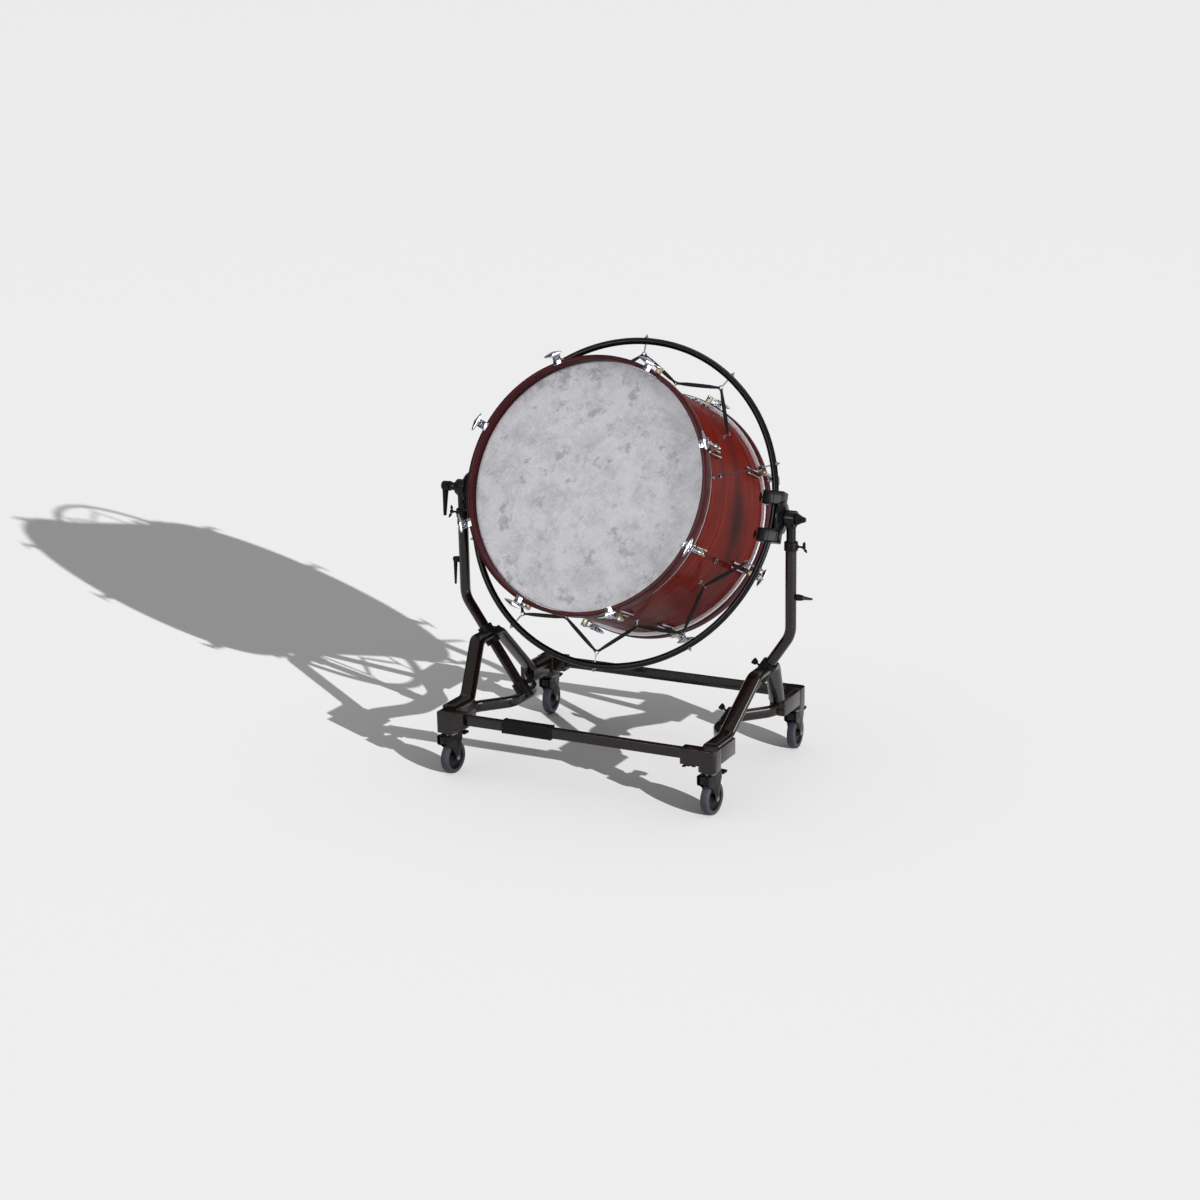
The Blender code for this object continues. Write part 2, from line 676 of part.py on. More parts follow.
def make_ring_clamp(materials, tilt, side):
    # Two blocks on the ring, the plate behind them, the friction dish and the trunnion axle
    way = SIDES[side]
    half = CLAMP_BLOCK / 2
    low = RING_RADIUS - CLAMP_INNER
    high = RING_RADIUS + CLAMP_OUTER
    hub_in = UPRIGHT_SPREAD - HUB_HALF - GAP
    hub_out = UPRIGHT_SPREAD + HUB_HALF + GAP
    plate = high - CLAMP_PLATE
    shapes = [box((plate, -CLAMP_SPACING - half * 0.8, -half * 0.8),
                  (high - 0.001, CLAMP_SPACING + half * 0.8, half * 0.8), 0.002)]
    for up in (-1, 1):
        centre = up * CLAMP_SPACING
        shapes.append(box((low, centre - half, -half), (high, centre + half, half), 0.003))
        tip = low - CLAMP_SCREW_REACH
        shapes.append(rod((low + 0.002, centre, 0), (tip, centre, 0), CLAMP_SCREW_RADIUS, 8))
        head = tip + CLAMP_SCREW_HEAD
        shapes.append(rod((head, centre - 0.014, 0), (head, centre + 0.014, 0), CLAMP_SCREW_RADIUS * 1.3, 6))
    shapes.append(rod((plate + 0.004, 0, 0), (high + 0.002, 0, 0), DISH_RADIUS, 20))
    shapes.append(rod((high + 0.0015, 0, 0), (hub_in, 0, 0), DISH_RADIUS * 0.9, 20, DISH_WAIST))
    end = hub_out + (CAP_LENGTH if side == "right" else 0.016)
    shapes.append(rod((hub_in - 0.004, 0, 0), (end - 0.004, 0, 0), AXLE_RADIUS, 12))
    if side == "right":
        shapes.append(rod((hub_out, 0, 0), (end, 0, 0), CAP_RADIUS, 14, CAP_RADIUS * 0.45))
    body = combine(shapes, [ring_torus(GAP)])
    if way < 0:
        move(body, Matrix.Rotation(math.pi, 4, "Z"))
    finish(f"ring_clamp_{side}", body, materials["black"], tilt)


# Posts, uprights and their screws and levers

def wing_screw(reach, wings=True):
    # A clamping screw along x from its tip at 0, with two wings at its end
    shapes = [rod((0, 0, 0), (reach, 0, 0), SCREW_RADIUS, 10)]
    hub = reach + 0.010
    shapes.append(rod((reach - 0.002, 0, 0), (hub, 0, 0), 0.0075, 10, 0.006))
    if wings:
        for way in (-1, 1):
            shapes.append(rod((hub - 0.006, 0, 0), (hub + 0.006, 0, way * WING_SPAN / 2), 0.0045, 6, 0.007))
    return combine(shapes)


def lever(reach, hub_length, hub_radius, arm, arm_radius):
    # A clamping lever along x from its tip at 0: screw, hub and an arm that hangs down
    end = reach + hub_length
    return combine([
        rod((0, 0, 0), (reach + 0.004, 0, 0), SCREW_RADIUS, 10),
        rod((reach, 0, 0), (end, 0, 0), hub_radius, 12, hub_radius * 0.85),
        rod((end - arm_radius, 0, 0), (end - arm_radius * 0.6, 0, -arm), arm_radius, 8, arm_radius * 0.45),
    ])


def side_turn(side):
    return Matrix() if side == "right" else Matrix.Rotation(math.pi, 4, "Z")


def make_post(materials, side):
    way = SIDES[side]
    frame = frame_at(f"post_frame_{side}", (way * UPRIGHT_SPREAD, 0, TRUNNION_HEIGHT))
    bottom = BORE_BOTTOM + GAP - TRUNNION_HEIGHT
    shapes = [
        rod((0, 0, bottom), (0, 0, -0.004), post_radius, TUBE_SIDES),
        rod((-HUB_HALF, 0, 0), (HUB_HALF, 0, 0), HUB_RADIUS, 20),
    ]
    hole = bore((-HUB_HALF - 0.01, 0, 0), (HUB_HALF + 0.01, 0, 0), AXLE_RADIUS, 12)
    finish(f"trunnion_post_{side}", combine(shapes, [hole]), materials["black"], frame)
    return frame


def make_tilt_lever(materials, frame):
    # The big lever that locks the tilt, on the left trunnion
    start = HUB_HALF + GAP
    hub = start + TILT_NECK
    end = hub + TILT_HUB
    shapes = [
        rod((start, 0, 0), (hub + 0.004, 0, 0), 0.0155, 14),
        rod((hub, 0, 0), (end, 0, 0), 0.019, 14, 0.017),
        rod((end - 0.012, 0, 0.004), (end - 0.005, 0, -0.118), 0.0145, 10, 0.0055),
    ]
    hole = bore((start - 0.01, 0, 0), (start + 0.0175, 0, 0), AXLE_RADIUS, 12)
    body = move(combine(shapes, [hole]), side_turn("left"))
    finish("tilt_lever", body, materials["plastic"], frame)


def slant():
    # Direction down the slanted part of the right upright, and its length to the foot clamp
    line = Vector((CLAMP_SPREAD - UPRIGHT_SPREAD, 0, CLAMP_HEIGHT - BEND_HEIGHT))
    return line.normalized(), line.length


def slant_at(reach):
    along, length = slant()
    return Vector((UPRIGHT_SPREAD, 0, BEND_HEIGHT)) + along * reach


def make_upright(materials, side):
    along, length = slant()
    top = Vector((UPRIGHT_SPREAD, 0, COLLAR_TOP - 0.001))
    corner = Vector((UPRIGHT_SPREAD, 0, BEND_HEIGHT))
    end = slant_at(length + FOOT_CLAMP_DOWN * 0.6)
    path = [top] + fillet(top, corner, end, BEND_RADIUS, BEND_STEPS) + [end]
    tube = sweep(path, (0, 1, 0), circle(UPRIGHT_RADIUS, TUBE_SIDES))
    collar = rod((UPRIGHT_SPREAD, 0, COLLAR_TOP - COLLAR_HEIGHT), (UPRIGHT_SPREAD, 0, COLLAR_TOP),
                 COLLAR_RADIUS, TUBE_SIDES)
    cutters = [rod((UPRIGHT_SPREAD, 0, BORE_BOTTOM), (UPRIGHT_SPREAD, 0, COLLAR_TOP + 0.01),
                   post_radius + GAP, TUBE_SIDES)]
    for height in (COLLAR_TOP - COLLAR_HEIGHT / 2, LEVER_HEIGHT):
        cutters.append(bore((UPRIGHT_SPREAD, 0, height), (UPRIGHT_SPREAD + 0.04, 0, height), SCREW_RADIUS))
    body = combine([tube, collar], cutters)
    finish(f"upright_{side}", move(body, side_turn(side)), materials["bronze"])


def make_upright_screws(materials, side):
    way = SIDES[side]
    tip = UPRIGHT_SPREAD + post_radius + GAP
    height = COLLAR_TOP - COLLAR_HEIGHT / 2
    frame = frame_at(f"collar_screw_frame_{side}", (way * tip, 0, height))
    screw = wing_screw(COLLAR_RADIUS - post_radius + SCREW_STAND)
    move(screw, side_turn(side) @ Matrix.Rotation(math.radians(25), 4, "X"))
    finish(f"collar_screw_{side}", screw, materials["plastic"], frame)

    frame = frame_at(f"clamp_lever_frame_{side}", (way * tip, 0, LEVER_HEIGHT))
    handle = lever(UPRIGHT_RADIUS - post_radius + 0.002, 0.026, 0.012, LEVER_REACH, 0.0085)
    move(handle, side_turn(side) @ Matrix.Rotation(math.radians(LEVER_TURNS[side]), 4, "X"))
    finish(f"clamp_lever_{side}", handle, materials["plastic"], frame)


def make_knobs(materials, side):
    # Knobs that hold the upright in its socket and in its foot clamp
    along, length = slant()
    out = Vector((along.z, 0, -along.x))
    socket_reach = (UPRIGHT_SPREAD - SOCKET_SPREAD) / -along.x
    for name, reach in (("socket_knob", socket_reach), ("foot_knob", length - 0.004)):
        start = slant_at(reach) + out * (UPRIGHT_RADIUS + GAP)
        shapes = [
            rod((0, 0, 0), (KNOB_STAND - UPRIGHT_RADIUS, 0, 0), SCREW_RADIUS, 10),
            rod((KNOB_STAND - UPRIGHT_RADIUS - KNOB_LENGTH / 2, 0, 0),
                (KNOB_STAND - UPRIGHT_RADIUS + KNOB_LENGTH / 2, 0, 0), KNOB_RADIUS * 0.7, 6, KNOB_RADIUS),
        ]
        knob = move(combine(shapes), out.to_track_quat("X", "Y").to_matrix().to_4x4())
        place = side_turn(side)
        frame = frame_at(f"{name}_frame_{side}", place @ start)
        finish(f"{name}_{side}", move(knob, place), materials["plastic"], frame)


# The base

def corner_shapes(side, y_way):
    # Column, the sleeve that takes the crossbar and the arm that takes the bow
    half = CORNER / 2
    y = y_way * CASTOR_REACH
    bar_y = y_way * BAR_REACH
    face = y + y_way * (half - CORNER_STEP)
    back = bar_y - y_way * (BAR_WIDTH / 2 + GAP + SLEEVE_WALL)
    outline = rounded_outline((CASTOR_SPREAD - half, y - half), (CASTOR_SPREAD + half, y + half),
                              CORNER_ROUNDINGS[side], 2)
    column = plate([(px, py, CORNER_BOTTOM) for px, py in outline], (0, 0, CORNER_TOP - CORNER_BOTTOM))
    sleeve_top = CORNER_TOP - 0.0005
    arm_top = CORNER_TOP - 0.001
    sleeve = box((SLEEVE_ENDS[side], min(face, back), SLEEVE_BOTTOM), (CASTOR_SPREAD, max(face, back), sleeve_top))
    arm_from, arm_to = sorted((y_way * ARM_END + FRAME_SHIFT, y))
    arm = box((ARM_INNER, arm_from, ARM_BOTTOM), (CASTOR_SPREAD + half - CORNER_STEP, arm_to, arm_top))
    return [column, sleeve, arm]


def corner_cutters(side, y_way):
    bar_y = y_way * BAR_REACH
    wide = BAR_WIDTH / 2 + GAP
    tall = BAR_HEIGHT / 2 + GAP
    end = CASTOR_SPREAD - CORNER / 2 + BAR_INSERT + GAP
    return [
        box((SLEEVE_ENDS[side] - 0.01, bar_y - wide, BAR_CENTRE - tall), (end, bar_y + wide, BAR_CENTRE + tall)),
        bore((CASTOR_SPREAD, y_way * CASTOR_REACH, CORNER_BOTTOM - 0.01),
             (CASTOR_SPREAD, y_way * CASTOR_REACH, CORNER_BOTTOM + STEM_LENGTH + 0.002), STEM_RADIUS, 8),
    ]


def make_bow():
    # Flat tube that bows inwards between the two arms
    end = CASTOR_REACH - CORNER / 2 + 0.004
    start = Vector((CASTOR_SPREAD, -end, BOW_CENTRE))
    turn = Vector((CASTOR_SPREAD - 0.002, -BOW_TURN, BOW_CENTRE))
    middle = Vector((BOW_IN, 0, BOW_CENTRE))
    shoulder = Vector((BOW_IN + 0.004, -0.085, BOW_CENTRE))
    half = [start] + fillet(start, turn, shoulder, 0.10, 3) + fillet(turn, shoulder, middle, 0.09, 3)
    path = half + [Vector((p.x, -p.y, p.z)) for p in reversed(half)]
    bow = sweep(path, (0, 0, 1), flat_oval(BOW_HEIGHT, BOW_THICKNESS, 2))
    return move(bow, Matrix.Translation((0, FRAME_SHIFT, 0)))


def make_leg_frame():
    # Flat tube bent into feet on the corners and an A between them
    lean = (SOCKET_SPREAD - CASTOR_SPREAD) / (LEG_TOP - CORNER_TOP)
    path = []
    for end, way in ENDS.items():
        foot = CORNER_TOP + LEG_THICKNESS / 2 - LEG_SINKS[end]
        points = [Vector((0, way * LEG_FOOT_END, foot)), Vector((0, way * LEG_FOOT_TURN, foot)),
                  Vector((0, way * LEG_TOP_TURN, LEG_TOP)), Vector((0, 0, LEG_TOP))]
        half = [points[0]] + fillet(*points[:3], 0.045, 3) + fillet(*points[1:], 0.040, 3)
        path += half if way < 0 else reversed(half)
    shape = sweep(path, (1, 0, 0), flat_oval(LEG_WIDTH, LEG_THICKNESS, 2))
    shear = Matrix.Identity(4)
    shear[0][2] = lean
    low = Matrix.Translation((0, 0, -CORNER_TOP))
    return move(shape, Matrix.Translation((CASTOR_SPREAD, FRAME_SHIFT, CORNER_TOP)) @ shear @ low)


def make_side_frame(materials, side):
    along, length = slant()
    socket_reach = (UPRIGHT_SPREAD - SOCKET_SPREAD) / -along.x
    out = Vector((along.z, 0, -along.x))
    shapes = [make_leg_frame(), make_bow()]
    cutters = []
    for y_way in ENDS.values():
        shapes += corner_shapes(side, y_way)
        cutters += corner_cutters(side, y_way)
    shapes.append(rod(slant_at(socket_reach - SOCKET_HALF), slant_at(socket_reach + SOCKET_HALF),
                      UPRIGHT_RADIUS + SOCKET_WALL, TUBE_SIDES))
    shapes.append(rod(slant_at(length - FOOT_CLAMP_UP), slant_at(length + FOOT_CLAMP_DOWN),
                      UPRIGHT_RADIUS + SOCKET_WALL, TUBE_SIDES))
    side_way = Vector((0, 1, 0))
    tube = [slant_at(0.05), slant_at(length + FOOT_CLAMP_DOWN * 0.6 + GAP)]
    cutters.append(sweep(tube, side_way, circle(UPRIGHT_RADIUS + GAP, TUBE_SIDES)))
    for reach in (socket_reach, length - 0.004):
        cutters.append(bore(slant_at(reach), slant_at(reach) + out * 0.06, SCREW_RADIUS))
    if side == "right":
        x = SLEEVE_ENDS["right"] + BAR_SCREW_IN
        cutters.append(bore((x, -BAR_REACH, BAR_CENTRE), (x, -BAR_REACH, 0.15), SCREW_RADIUS))
    body = combine(shapes, cutters)
    if side == "left":
        move(body, Matrix.Diagonal((-1, 1, 1, 1)))
        body.data.flip_normals()
    finish(f"side_frame_{side}", body, materials["bronze"])


def make_crossbars(materials):
    end = CASTOR_SPREAD - CORNER / 2 + BAR_INSERT
    wide = BAR_WIDTH / 2
    tall = BAR_HEIGHT / 2
    for name, y_way in ENDS.items():
        y = y_way * BAR_REACH
        tube = box((-end, y - wide, BAR_CENTRE - tall), (end, y + wide, BAR_CENTRE + tall), 0.0012)
        hollow = box((-end - 0.01, y - wide + BAR_WALL, BAR_CENTRE - tall + BAR_WALL),
                     (end + 0.01, y + wide - BAR_WALL, BAR_CENTRE + tall - BAR_WALL))
        finish(f"crossbar_{name}", combine([tube], [hollow]), materials["bronze"])

    inner = (wide + GAP, tall + GAP)
    outer = (inner[0] + GRIP_WALL, inner[1] + GRIP_WALL)
    y = -BAR_REACH
    grip = box((GRIP_FROM, y - outer[0], BAR_CENTRE - outer[1]),
               (GRIP_TO, y + outer[0], BAR_CENTRE + outer[1]), 0.003)
    hollow = box((GRIP_FROM - 0.01, y - inner[0], BAR_CENTRE - inner[1]),
                 (GRIP_TO + 0.01, y + inner[0], BAR_CENTRE + inner[1]))
    finish("crossbar_sleeve", combine([grip], [hollow]), materials["plastic"])

    top = BAR_CENTRE - tall - GAP
    frame = frame_at("bar_screw_frame", (SLEEVE_ENDS["right"] + BAR_SCREW_IN, y, top))
    screw = wing_screw(top - SLEEVE_BOTTOM + BAR_SCREW_STAND)
    move(screw, Matrix.Rotation(math.radians(20), 4, "Z") @ Matrix.Rotation(math.pi / 2, 4, "Y"))
    finish("bar_screw", screw, materials["plastic"], frame)


# Castors, each in its own frame: z up on the swivel axis, trail towards +y

def make_fork():
    # Stem, swivel head, crown over the wheel, two side plates and the axle
    inside = WHEEL_WIDTH / 2 + FORK_CLEARANCE
    outside = inside + FORK_PLATE
    top = CASTOR_HEAD_BOTTOM + 0.002
    y, z = CASTOR_TRAIL, WHEEL_RADIUS
    outline = [(FORK_NOSE, top), (FORK_TAIL, top), (FORK_TAIL, FORK_BRIDGE), (y + 0.012, z),
               (y + 0.006, z - 0.010), (y - 0.006, z - 0.010), (y - 0.012, z + 0.004),
               (-0.020, FORK_BRIDGE - 0.018), (FORK_NOSE, FORK_BRIDGE - 0.004)]
    shapes = [
        box((-outside + 0.001, FORK_NOSE + 0.002, FORK_BRIDGE), (outside - 0.001, 0.028, top - 0.001)),
        rod((0, 0, CASTOR_HEAD_BOTTOM), (0, 0, CORNER_BOTTOM - GAP), CASTOR_HEAD_RADIUS, 16),
        rod((0, 0, CORNER_BOTTOM - 0.004), (0, 0, CORNER_BOTTOM + STEM_LENGTH), STEM_RADIUS, 8),
        rod((-outside - 0.004, y, z), (outside + 0.004, y, z), CASTOR_AXLE_RADIUS, 8),
    ]
    for way in (-1, 1):
        shapes.append(plate([(way * inside, *point) for point in outline], (way * FORK_PLATE, 0, 0)))
    return combine(shapes)


def make_wheel():
    half = WHEEL_WIDTH / 2
    eye = (CASTOR_AXLE_RADIUS + SCREW_FIT) / math.cos(math.pi / WHEEL_STEPS)
    profile = [
        (eye, -half), (0.015, -half), (0.020, -half * 0.6), (0.042, -half * 0.6), (0.046, -half * 0.92),
        (WHEEL_RADIUS - 0.004, -half * 0.75), (WHEEL_RADIUS, -half * 0.25),
    ]
    profile += [(r, -x) for r, x in reversed(profile)]
    wheel = lathe(profile, WHEEL_STEPS, (1, 0, 0))
    return wheel


def make_pedal():
    # Brake pedal on its barrel between the fork plates, origin on the barrel's axis
    inside = WHEEL_WIDTH / 2 + FORK_CLEARANCE - GAP
    half = PEDAL_WIDTH / 2
    return combine([
        rod((-inside, 0, 0), (inside, 0, 0), 0.005, 10),
        box((-half + 0.004, 0.001, -0.001), (half - 0.004, PEDAL_LENGTH * 0.52, 0.004)),
        box((-half, PEDAL_LENGTH * 0.5, -0.005), (half, PEDAL_LENGTH, 0.006)),
    ])


def make_castors(materials):
    fork = make_fork()
    wheel = make_wheel()
    pedal = make_pedal()
    for side, x_way in SIDES.items():
        for end, y_way in ENDS.items():
            angle = math.radians(CASTOR_ANGLES[(side, end)])
            place = (x_way * CASTOR_SPREAD, y_way * CASTOR_REACH, 0)
            frame = frame_at(f"castor_frame_{end}_{side}", place, (0, 0, angle))
            for name, pattern, material, at in (
                    ("castor_fork", fork, "black", (0, 0, 0)),
                    ("castor_wheel", wheel, "tyre", (0, CASTOR_TRAIL, WHEEL_RADIUS)),
                    ("castor_brake", pedal, "plastic", (0, PEDAL_PIVOT_Y, PEDAL_PIVOT_Z))):
                piece = copy_of(pattern, Matrix())
                piece.location = at
                finish(f"{name}_{end}_{side}", piece, materials[material], frame)
    for pattern in (fork, wheel, pedal):
        discard(pattern)


def build():
    for old in list(bpy.data.objects):
        bpy.data.objects.remove(old)
    materials = make_materials()
    lean = math.pi / 2 - math.radians(DRUM_TILT)
    ring_frame = frame_at("ring_frame", (0, 0, TRUNNION_HEIGHT), (lean, 0, 0))
    drum_frame = frame_at("drum_frame", (0, DRUM_LIFT, 0))
    drum_frame.parent = ring_frame
    make_shell(materials, drum_frame)
    for end in ENDS:
        make_head_set(materials, drum_frame, end)
    make_tension_units(materials, drum_frame)
    make_ring(materials, ring_frame)
    make_suspension(materials, ring_frame)
    for side in SIDES:
        make_ring_clamp(materials, ring_frame, side)
        post_frame = make_post(materials, side)
        if side == "left":
            make_tilt_lever(materials, post_frame)
        make_upright(materials, side)
        make_upright_screws(materials, side)
        make_knobs(materials, side)
        make_side_frame(materials, side)
    make_crossbars(materials)
    make_castors(materials)


build()
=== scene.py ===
import math

import bmesh
import bpy
from mathutils import Matrix, Vector


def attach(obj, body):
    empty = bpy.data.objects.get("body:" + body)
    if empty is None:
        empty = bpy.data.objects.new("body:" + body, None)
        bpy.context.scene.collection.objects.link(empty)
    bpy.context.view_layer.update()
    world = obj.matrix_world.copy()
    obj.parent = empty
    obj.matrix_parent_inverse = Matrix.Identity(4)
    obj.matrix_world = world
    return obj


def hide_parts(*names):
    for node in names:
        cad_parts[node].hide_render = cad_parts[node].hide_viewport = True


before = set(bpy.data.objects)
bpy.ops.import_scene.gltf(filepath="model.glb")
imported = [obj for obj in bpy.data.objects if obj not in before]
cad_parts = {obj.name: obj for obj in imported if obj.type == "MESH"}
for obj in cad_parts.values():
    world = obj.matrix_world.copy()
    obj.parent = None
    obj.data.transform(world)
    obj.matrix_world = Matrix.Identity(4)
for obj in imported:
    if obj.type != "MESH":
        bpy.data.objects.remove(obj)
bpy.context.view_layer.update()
print("frame loaded with", len(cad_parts), "nodes")


# Small helpers for materials

def toLinear(hexColour):
    parts = [int(hexColour[k:k + 2], 16) / 255 for k in (1, 3, 5)]
    return tuple(c / 12.92 if c <= 0.04045 else ((c + 0.055) / 1.055) ** 2.4 for c in parts) + (1.0,)


def addNode(tree, kind, inputs=None, **options):
    # Adds one node, sets its options, and gives each input a value or a link.
    # A colour mix has its share at input 0 and its two colours at 6 and 7.
    node = tree.nodes.new("ShaderNode" + kind)
    for name, value in options.items():
        setattr(node, name, value)
    for name, value in (inputs or {}).items():
        if isinstance(value, bpy.types.NodeSocket):
            tree.links.new(value, node.inputs[name])
        else:
            node.inputs[name].default_value = toLinear(value) if isinstance(value, str) else value
    return node


def startMaterial(name, look):
    # A material with its fixed values set on the shader, and the piece's own metres as pattern space
    material = bpy.data.materials.new(name)
    material.use_nodes = True
    tree = material.node_tree
    shader = tree.nodes["Principled BSDF"]
    for socket, value in look.items():
        shader.inputs[socket].default_value = toLinear(value) if isinstance(value, str) else value
    return material, tree, addNode(tree, "TexCoord").outputs["Object"]


def overlay(tree, pattern, span, under, over, most=1.0):
    # Lays one colour over another where the pattern is strong. The span is the pattern's value where the
    # upper colour starts and where it is full, and most is its share there.
    share = addNode(tree, "MapRange", {
        "Value": pattern, "From Min": span[0], "From Max": span[1], "To Max": most})
    return addNode(tree, "Mix", {0: share.outputs[0], 6: under, 7: over}, data_type="RGBA").outputs[2]


def dressSurface(tree, relief, colour=None, gloss=None, edge=None):
    # Joins a finished pattern to the shader. Relief is (height, strength, depth in metres), gloss is
    # (pattern, lowest and highest roughness), and edge is the radius that sharp edges seem rounded by.
    shader = tree.nodes["Principled BSDF"]
    if colour:
        tree.links.new(colour, shader.inputs["Base Color"])
    if gloss:
        pattern, low, high = gloss
        spread = addNode(tree, "MapRange", {"Value": pattern, "To Min": low, "To Max": high})
        tree.links.new(spread.outputs[0], shader.inputs["Roughness"])
    height, strength, depth = relief
    bump = addNode(tree, "Bump", {"Strength": strength, "Distance": depth, "Height": height})
    if edge:
        tree.links.new(addNode(tree, "Bevel", {"Radius": edge}, samples=4).outputs[0], bump.inputs["Normal"])
    tree.links.new(bump.outputs[0], shader.inputs["Normal"])
    return bump


def perMetre(millimetres):
    return 1000.0 / millimetres


# Timber, bent and lacquered. The grain follows the bend, so patterns use the length round the drum.

mahoganySettings = {
    "dark": "#280A0D", "light": "#8A1A04", "flame": "#440E0A",
    "poreLength": 60.0, "poreWidth": 1.4, "bandLength": 420.0, "bandWidth": 14.0,      # mm
    "shine": 0.03, "coat": 0.1, "coatRoughness": 0.14, "roughness": 0.42,
}
hoopSettings = {
    "dark": "#1A0709", "light": "#561B1F", "flame": "#330F12",
    "poreLength": 50.0, "poreWidth": 1.2, "bandLength": 300.0, "bandWidth": 6.0,      # mm
    "shine": 0.05, "coat": 0.12, "coatRoughness": 0.16, "roughness": 0.38,
}
grainRadius = 0.454      # metres, turns an angle round the drum into a length along the grain


def bentTimber(name, wood):
    # Stained veneer under clear lacquer: deep colour, fine pores, and a clear reflection on top
    material, tree, place = startMaterial(name, {
        "IOR": 1.5, "Specular IOR Level": wood["shine"], "Coat Weight": wood["coat"],
        "Coat Roughness": wood["coatRoughness"], "Coat IOR": 1.5})
    apart = addNode(tree, "SeparateXYZ", {0: place})
    turn = addNode(tree, "Math", {0: apart.outputs["Y"], 1: apart.outputs["X"]}, operation="ARCTAN2")
    length = addNode(tree, "Math", {0: turn.outputs[0], 1: grainRadius}, operation="MULTIPLY")
    along = addNode(tree, "CombineXYZ", {"X": length.outputs[0], "Y": apart.outputs["Z"]})
    noises = {}
    for part, look in (("band", {"Detail": 4.0, "Roughness": 0.55, "Distortion": 0.4}),
                       ("pore", {"Detail": 2.0, "Roughness": 0.6})):
        scale = (perMetre(wood[part + "Length"]), perMetre(wood[part + "Width"]), 1.0)
        drawn = addNode(tree, "Mapping", {"Vector": along.outputs[0], "Scale": scale})
        noises[part] = addNode(tree, "TexNoise", {"Vector": drawn.outputs[0], "Scale": 1.0, **look}).outputs[0]
    body = overlay(tree, noises["band"], (0.32, 0.68), wood["light"], wood["flame"])
    colour = overlay(tree, noises["pore"], (0.52, 0.7), body, wood["dark"], 0.65)
    dressSurface(tree, (noises["pore"], 0.12, 0.0002), colour,
                 (noises["pore"], wood["roughness"] - 0.06, wood["roughness"] + 0.1))
    return material


headSettings = {
    "pale": "#D4D3D9", "cloud": "#98989D", "hair": "#F6F5F9",
    "cloudSize": 95.0, "patchSize": 62.0, "hairLength": 30.0,      # mm
    "hairWidth": 3.4,                   # mm, drawn coarser than the real hairs so that they show
    "hairTurns": (0.6, -0.5, 1.9),      # the ways the hairs lie, in radians
    "roughness": 0.5,
}


def mottledFilm():
    # Polyester film with fibres pressed in: a matt pale sheet with grey clouds under crossing white hairs
    film = headSettings
    material, tree, place = startMaterial("mottledFilm", {
        "IOR": 1.58, "Roughness": film["roughness"], "Coat Weight": 0.08, "Coat Roughness": 0.3})
    clouds = addNode(tree, "TexNoise", {
        "Vector": place, "Scale": perMetre(film["cloudSize"]), "Detail": 8.0, "Roughness": 0.72,
        "Distortion": 0.3}).outputs[0]
    patches = addNode(tree, "TexNoise", {
        "Vector": place, "Scale": perMetre(film["patchSize"]), "Detail": 5.0, "Roughness": 0.6}).outputs[0]
    colour = overlay(tree, clouds, (0.44, 0.64), film["pale"], film["cloud"], 0.62)
    colour = overlay(tree, patches, (0.57, 0.66), colour, film["cloud"], 0.9)
    hairScale = (perMetre(film["hairLength"]), perMetre(film["hairWidth"]), 1.0)
    for turn in film["hairTurns"]:
        laid = addNode(tree, "Mapping", {"Vector": place, "Rotation": (0, 0, turn)})
        drawn = addNode(tree, "Mapping", {"Vector": laid.outputs[0], "Scale": hairScale})
        hairs = addNode(tree, "TexNoise", {
            "Vector": drawn.outputs[0], "Scale": 1.0, "Detail": 3.0, "Roughness": 0.7, "Distortion": 0.6})
        colour = overlay(tree, hairs.outputs[0], (0.52, 0.74), colour, film["hair"], 0.5)
    dressSurface(tree, (clouds, 0.15, 0.0003), colour)
    return material


# Metals. The smear size is in mm.

chromeSettings = {"colour": "#BDBDC6", "smearSize": 9.0, "roughness": 0.1}
zincSettings = {"colour": "#8F9198", "smearSize": 4.0, "roughness": 0.26}
brassSettings = {"colour": "#A89F86", "smearSize": 3.0, "roughness": 0.28}
aluminiumSettings = {"colour": "#EFEDF1", "smearSize": 3.0, "roughness": 0.55}


def platedMetal(name, metal):
    # Plated or polished metal: faint uneven polish that breaks up the reflections
    material, tree, place = startMaterial(name, {"Base Color": metal["colour"], "Metallic": 1.0})
    smear = addNode(tree, "TexNoise", {
        "Vector": place, "Scale": perMetre(metal["smearSize"]), "Detail": 4.0, "Roughness": 0.6}).outputs[0]
    gloss = (smear, metal["roughness"] * 0.6, metal["roughness"] * 1.5)
    dressSurface(tree, (smear, 0.1, 0.0001), None, gloss, 0.0006)
    return material


hammerSettings = {
    "shadow": "#040304", "bronze": "#180C0A", "paintedGlint": "#644839",
    "dimple": 9.0, "flake": 4.0,     # mm, both drawn coarser than real so that they show
    "roughness": 0.3,
}


